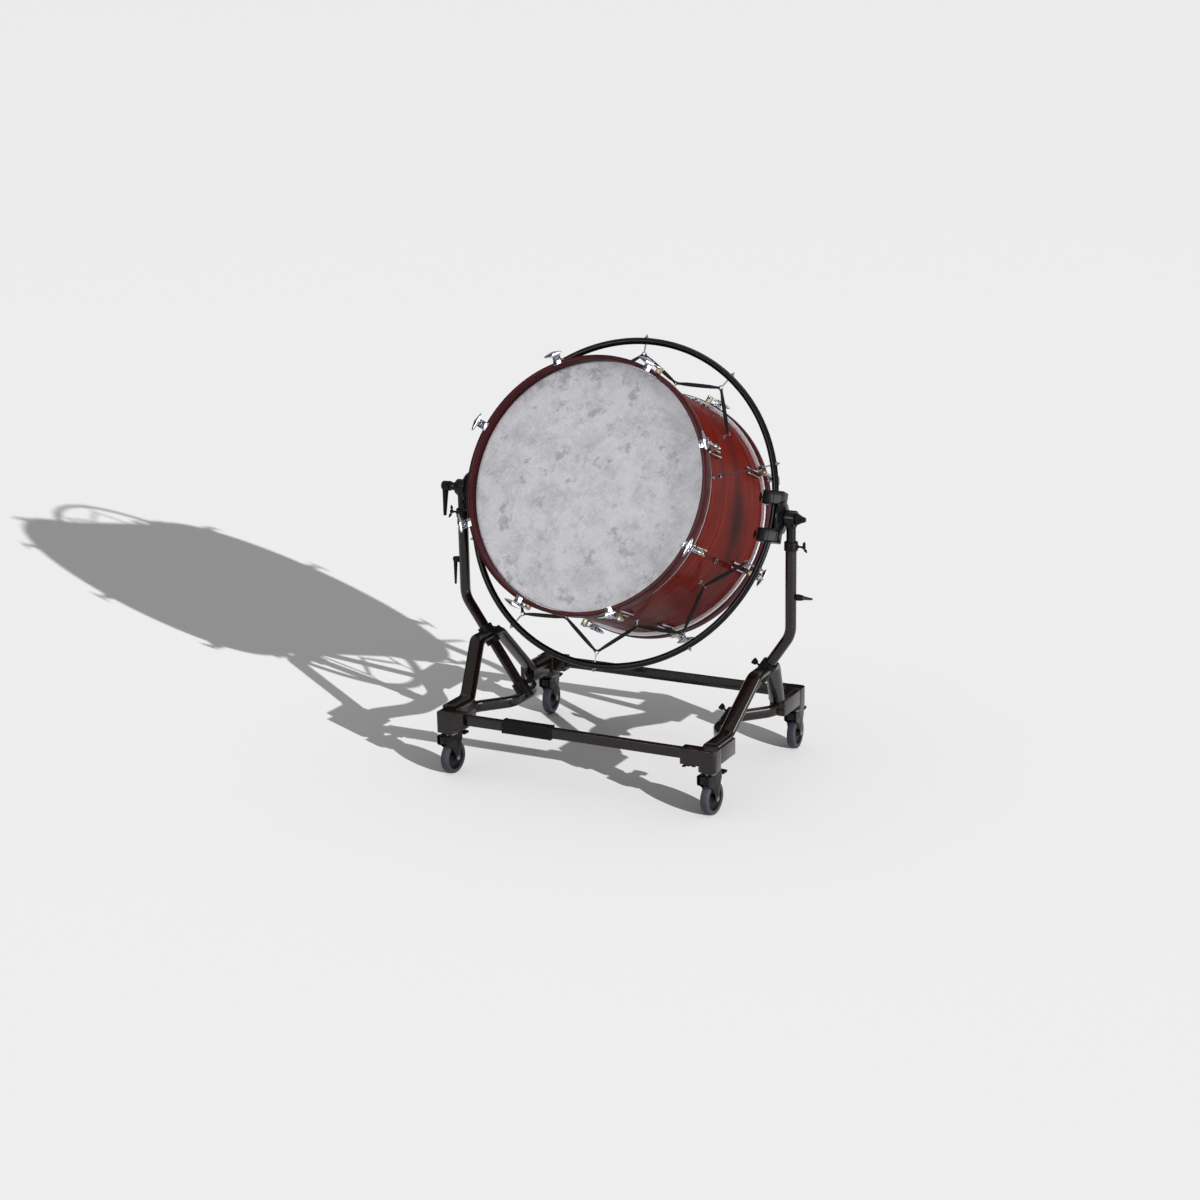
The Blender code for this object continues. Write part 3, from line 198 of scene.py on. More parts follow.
def hammeredEnamel():
    # Hammer-finish enamel on steel under a gloss: shallow dimples with painted shade in their hollows, a dull
    # bronze sheen painted on their ridges, and flakes painted lighter as glints
    paint = hammerSettings
    material, tree, place = startMaterial("hammeredEnamel", {
        "Metallic": 0.3, "Specular IOR Level": 0.15, "Coat Weight": 0.65, "Coat Roughness": 0.08,
        "Coat IOR": 1.5})
    dimples = addNode(tree, "TexVoronoi", {
        "Vector": place, "Scale": perMetre(paint["dimple"]), "Smoothness": 0.6},
        feature="SMOOTH_F1").outputs["Distance"]
    glintFlakes = addNode(tree, "TexNoise", {
        "Vector": place, "Scale": perMetre(paint["flake"]), "Detail": 2.0, "Roughness": 0.7}).outputs[0]
    # Painted shade darkens the dimple hollows and a painted bronze sheen lightens their ridges; the flakes laid
    # over them are painted glints
    body = overlay(tree, dimples, (0.1, 0.55), paint["shadow"], paint["bronze"], 0.8)
    colour = overlay(tree, glintFlakes, (0.56, 0.72), body, paint["paintedGlint"], 0.45)
    gloss = (glintFlakes, paint["roughness"] - 0.1, paint["roughness"] + 0.15)
    dressSurface(tree, (dimples, 0.9, 0.0008), colour, gloss, 0.0015)
    return material


# Paint, plastic and rubber. Grain and dust sizes are in mm.

dustSize = 60.0
enamelSettings = {"colour": "#0A090A", "dusty": "#232124", "dust": 0.2, "grain": 1.5, "relief": 0.12,
                  "roughness": 0.3, "coat": 0.15, "ior": 1.5, "shine": 0.15}
nylonSettings = {"colour": "#0C0B0C", "dusty": "#262426", "dust": 0.25, "grain": 0.8, "relief": 0.35,
                 "roughness": 0.45, "coat": 0.0, "ior": 1.53, "shine": 0.15}
grommetSettings = {"colour": "#101012", "dusty": "#2A2A2C", "dust": 0.2, "grain": 1.5, "relief": 0.05,
                   "roughness": 0.22, "coat": 0.4, "ior": 1.5, "shine": 0.4}
rubberSettings = {"colour": "#42424D", "dusty": "#5F5F6B", "dust": 0.55, "grain": 1.0, "relief": 0.3,
                  "roughness": 0.6, "coat": 0.0, "ior": 1.52, "shine": 0.4}


def smoothCoating(name, coat):
    # Paint, rubber or moulded plastic: one dark colour with a little dust, and a skin with a fine grain
    material, tree, place = startMaterial(name, {
        "IOR": coat["ior"], "Specular IOR Level": coat["shine"], "Coat Weight": coat["coat"],
        "Coat Roughness": 0.12})
    skin = addNode(tree, "TexNoise", {
        "Vector": place, "Scale": perMetre(coat["grain"]), "Detail": 3.0, "Roughness": 0.6}).outputs[0]
    dust = addNode(tree, "TexNoise", {
        "Vector": place, "Scale": perMetre(dustSize), "Detail": 6.0, "Roughness": 0.65}).outputs[0]
    colour = overlay(tree, dust, (0.45, 0.8), coat["colour"], coat["dusty"], coat["dust"])
    gloss = (skin, coat["roughness"] - 0.06, coat["roughness"] + 0.08)
    dressSurface(tree, (skin, coat["relief"], 0.0002), colour, gloss, 0.001)
    return material


webbingSettings = {
    "thread": "#0B0B0D", "gap": "#030303", "roughness": 0.8,
    "ribPitch": 1.8,      # mm, drawn a little coarser than the real 1.2 mm
}


def elasticWebbing():
    # Woven elastic: cross ribs with a soft sheen
    web = webbingSettings
    material, tree, place = startMaterial("elasticWebbing", {
        "Roughness": web["roughness"], "Sheen Weight": 0.12, "Sheen Roughness": 0.5})
    ribs = addNode(tree, "TexVoronoi", {
        "Vector": place, "Scale": perMetre(web["ribPitch"])}, feature="F1").outputs["Distance"]
    colour = overlay(tree, ribs, (0.3, 0.8), web["thread"], web["gap"])
    dressSurface(tree, (ribs, 0.5, 0.0004), colour).invert = True
    return material


shellTimber = bentTimber("mahoganyVeneer", mahoganySettings)
hoopTimber = bentTimber("stainedMapleHoop", hoopSettings)
headFilm = mottledFilm()
chrome = platedMetal("chromedSteel", chromeSettings)
zinc = platedMetal("zincPlatedSteel", zincSettings)
brass = platedMetal("paleBrass", brassSettings)
aluminium = platedMetal("satinAluminium", aluminiumSettings)
hammerPaint = hammeredEnamel()
blackEnamel = smoothCoating("blackEnamelledSteel", enamelSettings)
blackNylon = smoothCoating("blackMouldedNylon", nylonSettings)
grommetPlastic = smoothCoating("polishedBlackPlastic", grommetSettings)
tyreRubber = smoothCoating("greyWheelRubber", rubberSettings)
webbing = elasticWebbing()
print("materials made")


# Small helpers for shapes, in metres. Those that make a form give a closed bmesh.

def arc(centre, radius, start, end, steps):
    # Points of (radius, height) round a corner of a turned profile
    points = []
    for k in range(steps + 1):
        a = math.radians(start + (end - start) * k / steps)
        points.append((centre[0] + radius * math.cos(a), centre[1] + radius * math.sin(a)))
    return points


def spelled(profile):
    # Writes out the arcs in a profile, given as (centre, radius, first degree, last degree, steps)
    points = []
    for item in profile:
        points += arc(*item) if len(item) > 2 else [item]
    return points


def rimmed(inner, outer, low, high, rounding):
    # Profile of a plain ring with both outer rims rounded
    return [(inner, low), ((outer - rounding, low + rounding), rounding, -90, 0, 4),
            ((outer - rounding, high - rounding), rounding, 0, 90, 4), (inner, high)]


def lathe(profile, steps, axis="Z"):
    # Turns a profile of (radius, height) points and arcs round the axis
    turn = Vector([letter == axis for letter in "XYZ"]).to_track_quat("Z", "Y").to_matrix()
    bm = bmesh.new()
    rows = []
    for r, z in spelled(profile):
        if r < 1e-7:
            rows.append([bm.verts.new(turn @ Vector((0, 0, z)))])
        else:
            angles = [math.tau * k / steps for k in range(steps)]
            rows.append([bm.verts.new(turn @ Vector((r * math.cos(a), r * math.sin(a), z))) for a in angles])
    pairs = list(zip(rows, rows[1:]))
    if len(rows[0]) > 1 or len(rows[-1]) > 1:
        pairs.append((rows[-1], rows[0]))
    for first, second in pairs:
        for k in range(steps):
            nextOne = (k + 1) % steps
            corners = [first[k % len(first)], first[nextOne % len(first)],
                       second[nextOne % len(second)], second[k % len(second)]]
            corners = list(dict.fromkeys(corners))
            if len(corners) > 2:
                bm.faces.new(corners)
    bmesh.ops.recalc_face_normals(bm, faces=bm.faces)
    return bm


def sweep(path, side, section, sizes=None):
    # Carries a section of (along side, across) points along a flat path
    side = Vector(side)
    bm = bmesh.new()
    rings = []
    for index, point in enumerate(path):
        before = (point - path[index - 1]).normalized() if index else None
        after = (path[index + 1] - point).normalized() if index + 1 < len(path) else None
        if before and after:
            tangent = (before + after).normalized()
            stretch = 1.0 / max(0.3, tangent.dot(after))
        else:
            tangent = before or after
            stretch = 1.0
        across = side.cross(tangent).normalized()
        size = sizes[index] if sizes else 1.0
        rings.append([bm.verts.new(point + side * (s * size) + across * (a * stretch)) for s, a in section])
    count = len(section)
    for first, second in zip(rings, rings[1:]):
        for k in range(count):
            nextOne = (k + 1) % count
            bm.faces.new((first[k], first[nextOne], second[nextOne], second[k]))
    bm.faces.new(rings[0][::-1])
    bm.faces.new(rings[-1])
    bmesh.ops.recalc_face_normals(bm, faces=bm.faces)
    return bm


def prism(outline, thickness):
    bm = bmesh.new()
    face = bm.faces.new([bm.verts.new(point) for point in outline])
    extruded = bmesh.ops.extrude_face_region(bm, geom=[face])["geom"]
    bmesh.ops.translate(bm, verts=[v for v in extruded if isinstance(v, bmesh.types.BMVert)], vec=thickness)
    bmesh.ops.recalc_face_normals(bm, faces=bm.faces)
    return bm


def block(low, high, rounding, segments=3):
    # A box with rounded edges
    low, high = Vector(low), Vector(high)
    bm = bmesh.new()
    size = Matrix.Diagonal((*(high - low), 1.0))
    bmesh.ops.create_cube(bm, size=1.0, matrix=Matrix.Translation((low + high) / 2) @ size)
    return soften(bm, rounding, segments)


def bar(start, end, radius, sides=32):
    # A round bar between two points, or a six-sided one for a nut
    start, end = Vector(start), Vector(end)
    line = end - start
    bm = bmesh.new()
    place = Matrix.Translation((start + end) / 2) @ line.to_track_quat("Z", "Y").to_matrix().to_4x4()
    bmesh.ops.create_cone(bm, cap_ends=True, segments=sides, radius1=radius, radius2=radius,
                          depth=line.length, matrix=place)
    return bm


def soften(bm, width, segments=3, angle=30.0):
    # Rounds every edge that is sharper than the angle, in degrees
    sharp = [e for e in bm.edges if len(e.link_faces) == 2 and e.calc_face_angle(0.0) > math.radians(angle)]
    bmesh.ops.bevel(bm, geom=sharp, offset=width, segments=segments, profile=0.5, affect="EDGES",
                    clamp_overlap=True)
    return bm


def moved(bm, matrix):
    bmesh.ops.transform(bm, matrix=matrix, verts=bm.verts)
    if matrix.determinant() < 0:
        bmesh.ops.reverse_faces(bm, faces=bm.faces)
    return bm


def shifted(bm, *offset):
    return moved(bm, Matrix.Translation(offset))


def turned(degrees, axis="Z"):
    return Matrix.Rotation(math.radians(degrees), 4, axis)


smoothBelow = 38.0      # degrees between two faces, sharper edges stay crisp


def meshOf(name, forms, materials):
    # One mesh from forms, each a bmesh or (bmesh, material number)
    whole = bmesh.new()
    for form in forms:
        form, number = form if isinstance(form, tuple) else (form, 0)
        for face in form.faces:
            face.material_index = number
        part = bpy.data.meshes.new("part")
        form.to_mesh(part)
        form.free()
        whole.from_mesh(part)
        bpy.data.meshes.remove(part)
    mesh = bpy.data.meshes.new(name)
    whole.to_mesh(mesh)
    whole.free()
    for material in materials:
        mesh.materials.append(material)
    mesh.shade_smooth()
    mesh.set_sharp_from_angle(angle=math.radians(smoothBelow))
    return mesh


def addPiece(name, mesh, body, place, node):
    # Puts the piece in its place, hangs it on the body it rides on, and hides the solid that it stands for
    piece = bpy.data.objects.new(name, mesh)
    bpy.context.scene.collection.objects.link(piece)
    piece.matrix_world = place
    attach(piece, body)
    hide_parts(node)
    return piece


def onePiece(name, forms, materials, body, place, node):
    if not isinstance(forms, list):
        forms = [forms]
    return addPiece(name, meshOf(name, forms, materials), body, place, node)


def ringPoints(radius, count):
    angles = [math.radians(360.0 * k / count) for k in range(count)]
    return [(radius * math.cos(a), radius * math.sin(a)) for a in angles]


def roundCorner(before, corner, after, radius, steps):
    back = (before - corner).normalized()
    ahead = (after - corner).normalized()
    half = back.angle(ahead) / 2
    reach = radius / math.tan(half)
    centre = corner + (back + ahead).normalized() * (radius / math.sin(half))
    start = (corner + back * reach - centre).normalized()
    end = (corner + ahead * reach - centre).normalized()
    return [centre + start.slerp(end, k / steps) * radius for k in range(steps + 1)]


def flatOval(width, thickness, steps):
    # Section of a flat tube, wide along the sweep's side
    half = (width - thickness) / 2
    points = []
    for end in (1, -1):
        for k in range(steps + 1):
            turn = math.pi * (k / steps - 0.5)
            points.append((end * (half + thickness / 2 * math.cos(turn)), end * thickness / 2 * math.sin(turn)))
    return points


# The drum. Its own space has z along the drum towards the front head.

ringPlace = Matrix.Translation((0, 0, 1.009)) @ turned(67.5, "X")
drumLift = Matrix.Translation((0, 0.006, 0))      # the drum hangs a little off the ring's centre
drumPlace = ringPlace @ drumLift
ends = {"front": Matrix(), "rear": turned(180, "X")}
roundSteps = 192      # steps round the drum and the ring

shellSettings = {"radius": 0.4536, "wall": 0.0076, "half": 0.2795, "edge": 0.004, "ventAngle": -24.0,
                 "ventHole": 0.0081, "drillSpare": 0.01}
grommetProfile = [(0.0055, 0.4457), (0.0078, 0.4457), (0.0078, 0.4537), (0.0125, 0.4537),
                  ((0.0110, 0.4545), 0.0015, 0, 90, 4), ((0.0062, 0.4553), 0.0007, 90, 180, 3)]


def makeShell():
    s = shellSettings
    inside = s["radius"] - s["wall"]
    peak = s["radius"] - s["edge"]
    profile = [(s["radius"], -s["half"] + s["edge"]), (s["radius"], s["half"] - s["edge"]), (peak, s["half"]),
               (inside, s["half"] - s["edge"]), (inside, -s["half"] + s["edge"]), (peak, -s["half"])]
    piece = onePiece("shellVeneer", lathe(profile, roundSteps), [shellTimber], "drum", drumPlace, "shell")
    vent = turned(s["ventAngle"])
    cutter = bar((inside - s["drillSpare"], 0, 0), (s["radius"] + s["drillSpare"], 0, 0), s["ventHole"])
    drill = bpy.data.objects.new("drill", meshOf("drill", [moved(cutter, vent)], []))
    bpy.context.scene.collection.objects.link(drill)
    drill.matrix_world = drumPlace
    cut = piece.modifiers.new("vent", "BOOLEAN")
    cut.operation = "DIFFERENCE"
    cut.object = drill
    drilled = bpy.data.meshes.new_from_object(piece.evaluated_get(bpy.context.evaluated_depsgraph_get()))
    piece.modifiers.clear()
    piece.data = drilled
    bpy.data.objects.remove(drill)
    onePiece("ventGrommet", moved(lathe(grommetProfile, 48, "X"), vent), [grommetPlastic], "drum", drumPlace,
             "vent_grommet")


makeShell()

headShape = {"film": 0.0010, "flat": 0.4400, "skirtRadius": 0.4551, "top": 0.2808, "skirt": 0.0220,
             "bend": 0.0030}
fleshShape = {"inside": 0.4557, "width": 0.0133, "top": 0.2698, "height": 0.0118, "rounding": 0.0018}
hoopShape = {"radius": 0.4733, "thickness": 0.0143, "seat": 0.2702, "face": 0.3214, "rounding": 0.0040,
             "seatRounding": 0.0015}


def makeHeadSet(end):
    place = drumPlace @ ends[end]
    h = headShape
    skirt, low, film = h["skirtRadius"], h["top"] - h["skirt"], h["film"]
    bent = h["top"] - h["bend"]
    profile = [(0, h["top"]), (h["flat"], h["top"]), ((skirt - h["bend"], bent), h["bend"], 90, 0, 6),
               (skirt, low), (skirt - film, low), (skirt - film, bent), (skirt - h["bend"], h["top"] - film),
               (0, h["top"] - film)]
    onePiece(f"{end}Head", lathe(profile, roundSteps), [headFilm], "drum", place, f"head_{end}")

    f = fleshShape
    profile = rimmed(f["inside"], f["inside"] + f["width"], f["top"] - f["height"], f["top"], f["rounding"])
    onePiece(f"{end}FleshHoop", lathe(profile, roundSteps), [aluminium], "drum", place, f"head_{end}")

    w = hoopShape
    inside, small, large = w["radius"] - w["thickness"], w["seatRounding"], w["rounding"]
    profile = [((inside + small, w["seat"] + small), small, 180, 270, 3),
               ((w["radius"] - small, w["seat"] + small), small, 270, 360, 3),
               ((w["radius"] - large, w["face"] - large), large, 0, 90, 6),
               ((inside + large, w["face"] - large), large, 90, 180, 6)]
    onePiece(f"{end}Hoop", lathe(profile, roundSteps), [hoopTimber], "drum", place, f"hoop_{end}")


for end in ends:
    makeHeadSet(end)
print("shell, heads and hoops made")

# Each station stands along +x. Outlines hold points of (distance from the drum's axis, height along it).
stationSettings = {
    "count": 8, "start": 22.5, "rodAt": 0.4925, "clawWidth": 0.030,
    "claw": [(0.4603, 0.3216), (0.4733, 0.3216), (0.4733, 0.2916), (0.4778, 0.2916), (0.4778, 0.3176),
             (0.4808, 0.3216), (0.4995, 0.3216), (0.4995, 0.3261), (0.4603, 0.3261)],
    "lip": ((0.4603, -0.012, 0.3251), (0.4653, 0.012, 0.3276)),
    "boss": [(0, 0.3056), (0.0078, 0.3056), ((0.0078, 0.3066), 0.001, -90, 0, 3),
             ((0.0068, 0.3291), 0.002, 0, 90, 4), (0, 0.3311)],
    "rodTop": [(0.0038, 0.3301), (0.0052, 0.3321), (0.0056, 0.3435), (0.0078, 0.3475), (0.0078, 0.3535),
               (0.0060, 0.3557), (0, 0.3560)],
    "thread": (0.213, 0.265), "threadRadius": 0.0038, "threadDepth": 0.0006,
    "threadPitch": 0.0018,      # drawn coarser than the real 1 mm so that it shows
    "handleAt": 0.3515, "handle": (0.076, 0.022, 0.0095),
    "lug": [(0.4534, 0.130), (0.4634, 0.130), (0.4664, 0.134), (0.4664, 0.242), (0.4634, 0.245),
            (0.4534, 0.245), (0.4534, 0.227), (0.4594, 0.224), (0.4594, 0.151), (0.4534, 0.148)],
    "lugWidth": 0.006, "lugPlaces": (-0.010, 0.010), "nut": ((0.4609, -0.0095, 0.225), (0.4975, 0.0095, 0.243)),
    "rivet": 0.002, "rivetEnds": (0.4654, 0.4672), "rivetPlaces": (0.139, 0.236),
}


def leaf(span, height, thickness, steps=16):
    # The flat leaf-shaped handle, long along y
    profile = [(0, -span / 2)]
    for k in range(1, steps):
        t = -1 + 2 * k / steps
        width = (0.2 + 0.8 * (1 - abs(t)) ** 0.85) * min(1.0, 6 * (1 - abs(t)))
        profile.append(((height / 2) * width, t * span / 2))
    profile.append((0, span / 2))
    return moved(lathe(profile, 24, "Y"), Matrix.Diagonal((1, 1, thickness / height, 1)))


def plate(outline, middle, width):
    # A plate across y with an outline of (x, z) points
    return prism([(x, middle - width / 2, z) for x, z in outline], (0, width, 0))


def stationMesh():
    # Claw and its lip, boss, threaded rod, leaf handle, then the lug's two bars with rivets, and the nut
    s = stationSettings
    z, end = s["thread"]
    rod = [(0, z)]
    while z < end:
        rod += [(s["threadRadius"] - s["threadDepth"], z), (s["threadRadius"], z + s["threadPitch"] / 2)]
        z += s["threadPitch"]
    rod += [(s["threadRadius"], z)] + s["rodTop"]
    forms = [soften(plate(s["claw"], 0, s["clawWidth"]), 0.0012, 3), block(*s["lip"], 0.0008, 2),
             shifted(lathe(s["boss"], 32), s["rodAt"], 0, 0), shifted(lathe(rod, 20), s["rodAt"], 0, 0),
             shifted(leaf(*s["handle"]), s["rodAt"], 0, s["handleAt"])]
    near, far = s["rivetEnds"]
    for y in s["lugPlaces"]:
        forms.append(soften(plate(s["lug"], y, s["lugWidth"]), 0.0009, 3))
        for z in s["rivetPlaces"]:
            forms.append((soften(bar((near, y, z), (far, y, z), s["rivet"], sides=16), 0.0004, 2), 1))
    forms.append((block(*s["nut"], 0.0022, 4), 1))
    return meshOf("tensionStation", forms, [chrome, brass])


stationForm = stationMesh()
for end in ends:
    for number in range(stationSettings["count"]):
        turn = turned(stationSettings["start"] + 360 / stationSettings["count"] * number)
        addPiece(f"{end}Tension{number + 1}", stationForm, "drum", drumPlace @ turn @ ends[end],
                 f"tension_unit_{end}_{number + 1}")
print("tension stations made")


# The suspension ring with its hook bolts, shell eyes and elastic straps

ringSettings = {"radius": 0.6094, "tube": 0.0124, "sides": 32}
hangerSettings = {
    "count": 10, "hookAt": 0.560, "hookRadius": 0.008, "wire": 0.0022, "wireSpan": 310.0, "wireSteps": 32,
    "shank": 0.003, "shankStart": 0.567, "nutFrom": 0.6218, "nutTop": 0.6268, "nutAcross": 0.0064,
    "washerEnds": (0.6210, 0.6222), "washer": 0.0082, "threads": 4, "threadDepth": 0.0005,
    "threadPitch": 0.0015,      # drawn coarser than the real 1 mm so that it shows
    "eyeAt": 0.4765, "eyeRadius": 0.006,
    "eyeStem": [(0, 0.4534), (0.009, 0.4534), (0.009, 0.4549), (0.007, 0.4562), (0.0036, 0.4568),
                (0.0026, 0.4594), (0.0026, 0.4715), (0, 0.4715)],
    "stayHook": 18.0, "stayEye": 11.0, "stayDepth": 0.205,
    "runs": {"upper": (90.0, 1), "lower": (-90.0, 2)},      # middle of each zigzag, hooks to each side of it
    "eyePlaces": (-1.5, -0.5, 0.5, 1.5),                    # shell eyes, in steps from the middle
}
strapSettings = {
    "width": 0.015, "thickness": 0.0018, "loop": 0.0036,
    "gathered": 0.6, "gatherEnd": 0.010, "spreadOver": 0.030,      # width's share at the wires, how it opens
    "fold": [(0.005, 0.0032), (0.010, 0.0021), (0.016, 0.00099), (0.022, 0.00099)],      # along, and off its line
    "single": 0.034,      # how far from the wire the strap is single
}


def wireEye(centre, radius):
    h = hangerSettings
    turns = [math.radians(h["wireSpan"] * k / h["wireSteps"]) for k in range(h["wireSteps"] + 1)]
    path = [Vector((centre + radius * math.cos(a), radius * math.sin(a), 0)) for a in turns]
    return sweep(path, (0, 0, 1), ringPoints(h["wire"], 12))


def hookBolt(angle):
    # Threaded shank, hook, nut and washer, along x before the turn
    h = hangerSettings
    r, z = h["shank"], h["nutTop"]
    shank = [(0, h["shankStart"]), (r, h["shankStart"]), (r, z)]
    for _ in range(h["threads"]):
        shank += [(r - h["threadDepth"], z + 0.0004), (r, z + 0.0010)]
        z += h["threadPitch"]
    shank += [(r - 0.0008, z + 0.0012), (0, z + 0.0014)]
    near, far = h["washerEnds"]
    nut = soften(bar((h["nutFrom"], 0, 0), (h["nutTop"], 0, 0), h["nutAcross"], sides=6), 0.0006, 2)
    forms = (lathe(shank, 16, "X"), wireEye(h["hookAt"], h["hookRadius"]), nut,
             bar((near, 0, 0), (far, 0, 0), h["washer"]))
    return [moved(form, turned(angle)) for form in forms]


def shellEye(angle, lift):
    h = hangerSettings
    eye = moved(wireEye(0, h["eyeRadius"]), Matrix.Translation((h["eyeAt"], 0, 0)) @ turned(180))
    return [moved(form, lift @ turned(angle)) for form in (lathe(h["eyeStem"], 24, "X"), eye)]


def strapForm(hook, eye, flat):
    # One elastic strap, folded back round the wire at both ends and gathered there
    h, s = hangerSettings, strapSettings
    line = (eye - hook).normalized()
    start = hook + line * h["hookRadius"]
    length = (eye - hook).length - h["hookRadius"] - h["eyeRadius"]
    middle = s["thickness"] / 2
    turn = [(a, -b) for a, b in reversed(s["fold"])]
    for a in range(-90, -271, -20):
        turn.append((s["loop"] * math.cos(math.radians(a)), s["loop"] * math.sin(math.radians(a))))
    turn += s["fold"] + [(s["single"], middle)]
    course = turn + [(length * k / 8, middle) for k in (3, 4, 5)] + [(length - a, b) for a, b in reversed(turn)]
    widths = []
    for a, _ in course:
        spread = (min(abs(a), abs(length - a)) - s["gatherEnd"]) / s["spreadOver"]
        widths.append(s["gathered"] + (1 - s["gathered"]) * min(1.0, max(0.0, spread)))
    normal = (flat - line * flat.dot(line)).normalized()
    path = [start + line * a + normal * b for a, b in course]
    return sweep(path, normal.cross(line).normalized(), flatOval(s["width"], s["thickness"], 4), widths)


def makeStraps():
    h = hangerSettings
    step = 360 / h["count"]
    hookAt, eyeAt = Vector((h["hookAt"], 0, 0)), Vector((h["eyeAt"], 0, 0))
    for run, (middle, reach) in h["runs"].items():
        hardware, straps = [], []
        for place in h["eyePlaces"]:
            hardware += shellEye(middle + step * place, drumLift)
        for number in range(-reach, reach + 1):
            hardware += hookBolt(middle + step * number)
            hook = turned(middle + step * number) @ hookAt
            for place in h["eyePlaces"]:
                if abs(place - number) < 1:
                    eye = drumLift @ turned(middle + step * place) @ eyeAt
                    straps.append(strapForm(hook, eye, Vector((0, 0, 1))))
        node = f"strap_run_{run}"
        onePiece(f"{run}HooksAndEyes", hardware, [zinc], "drum", ringPlace, node)
        onePiece(f"{run}Straps", straps, [webbing], "drum", ringPlace, node)
    back = drumLift @ Matrix.Translation((0, 0, h["stayDepth"]))
    for side, way in (("left", -1), ("right", 1)):
        hookTurn, eyeTurn = (90 - way * (90 - a) for a in (h["stayHook"], h["stayEye"]))
        stay = strapForm(turned(hookTurn) @ hookAt, back @ turned(eyeTurn) @ eyeAt, Vector((0, 1, 0)))
        hardware = hookBolt(hookTurn) + shellEye(eyeTurn, back)
        node = f"stay_strap_{side}"
        onePiece(f"{side}StayHardware", hardware, [zinc], "drum", ringPlace, node)
        onePiece(f"{side}StayStrap", stay, [webbing], "drum", ringPlace, node)


tubePoints = ringPoints(ringSettings["tube"], ringSettings["sides"])
tubeSection = [(ringSettings["radius"] + x, z) for x, z in tubePoints]
onePiece("suspensionRing", lathe(tubeSection, roundSteps), [blackEnamel], "drum", ringPlace, "suspension_ring")
makeStraps()
print("ring, hooks and straps made")

clampSettings = {
    "ring": 0.610, "spacing": 0.068, "block": 0.050, "inner": 0.045, "outer": 0.035, "plate": 0.012,
    "plateShare": 0.8, "plateIn": 0.001, "split": 0.0012, "splitProud": 0.0004, "screwEnds": (0.567, 0.545),
    "screw": 0.0038, "toggleAt": 0.549, "toggle": (0.036, 0.012, 0.008),
    "dish": [(0, 0.637), (0.057, 0.637), ((0.057, 0.640), 0.003, -90, 0, 4), ((0.058, 0.645), 0.002, 0, 70, 3),
             (0.0516, 0.648), (0.0372, 0.6535), (0.028, 0.6562), (0.024, 0.6592), (0.009, 0.6592)],
    "axleEnds": {"left": 0.7088, "right": 0.7288},
    "cap": [(0, 0.6968), (0.020, 0.6968), ((0.019, 0.7028), 0.002, -20, 30, 3), (0.0168, 0.7108),
            (0.01176, 0.7208), (0.00945, 0.7298), (0.00756, 0.7328), (0, 0.7328)],
}


def makeRingClamp(side):
    # Two clamp blocks on a backing plate, then the friction dish and the axle, with a cap on the right
    c = clampSettings
    half = c["block"] / 2
    ring, low, high = c["ring"], c["ring"] - c["inner"], c["ring"] + c["outer"]
    wide, edge = half * c["plateShare"], half + c["splitProud"]
    near, far = c["screwEnds"]
    long = c["spacing"] + wide
    forms = [block((high - c["plate"], -long, -wide), (high - c["plateIn"], long, wide), 0.003, 4)]
    for up in (-1, 1):
        jaw = block((low, -half, -half), (high, half, half), 0.005, 4)
        split = block((ring - c["split"], -edge, -edge), (ring + c["split"], edge, edge), 0.0003, 1)
        stem = bar((near, 0, 0), (far, 0, 0), c["screw"], sides=20)
        toggle = shifted(leaf(*c["toggle"]), c["toggleAt"], 0, 0)
        for form, number in ((jaw, 0), (split, 1), (stem, 1), (toggle, 1)):
            forms.append((shifted(form, 0, up * c["spacing"], 0), number))
    end = c["axleEnds"][side]
    forms.append(lathe(c["dish"] + [(0.009, end - 0.001), (0.008, end), (0, end)], 64, "X"))
    if side == "right":
        forms.append((lathe(c["cap"], 48, "X"), 1))
    onePiece(f"{side}RingClamp", forms, [blackEnamel, blackNylon], "drum", ringPlace @ sideTurn[side],
             f"ring_clamp_{side}")


# Posts, uprights and what locks them

stand = {
    "spread": 0.678, "trunnion": 1.009, "tube": 0.020, "post": 0.0170, "postBottom": 0.6053, "postTop": 0.012,
    "hub": 0.030, "hubHalf": 0.0185, "bore": 0.0094, "play": 0.0003, "rim": 0.002,
    "collarTop": 0.925, "collarHeight": 0.032, "collar": 0.0248, "bend": 0.580, "bendRadius": 0.100,
    "footSpread": 0.444, "footHeight": 0.239, "socketSpread": 0.578, "socketHalf": 0.038, "socket": 0.0294,
    "footUp": 0.022, "footDown": 0.050, "tubeEnd": 0.030, "chamfer": 0.001, "plug": (0.006, 0.0004),
    "lever": 0.722, "screwTip": 0.6953, "screwReach": 0.0275, "screwTurn": 25.0,
    "weld": [(0.0172, -0.034), (0.0205, -0.027), (0.0205, -0.020), (0.0172, -0.018)],      # from the trunnion
    "boss": [(0, 0.0195), (0.0085, 0.0195), (0.0085, 0.0262), (0.0078, 0.0270), (0, 0.0270)],
}
sideTurn = {"right": Matrix(), "left": turned(180)}
mirror = {"right": Matrix(), "left": Matrix.Diagonal((-1, 1, 1, 1))}
outward = {"right": 1, "left": -1}


def slantLine():
    line = Vector((stand["footSpread"] - stand["spread"], 0, stand["footHeight"] - stand["bend"]))
    return line.normalized(), line.length


def slantAt(reach):
    return Vector((stand["spread"], 0, stand["bend"])) + slantLine()[0] * reach


def socketReach():
    return (stand["spread"] - stand["socketSpread"]) / -slantLine()[0].x


wingShape = {
    "stem": 0.0039, "wing": (0.024, 0.0125, 0.0075, 10), "wingAt": 0.0075, "lean": 22.0, "apart": 0.0145,
    "head": [(0.0039, -0.001), (0.0070, 0), (0.0076, 0.003), (0.0066, 0.009), (0.0040, 0.010), (0, 0.010)],
}


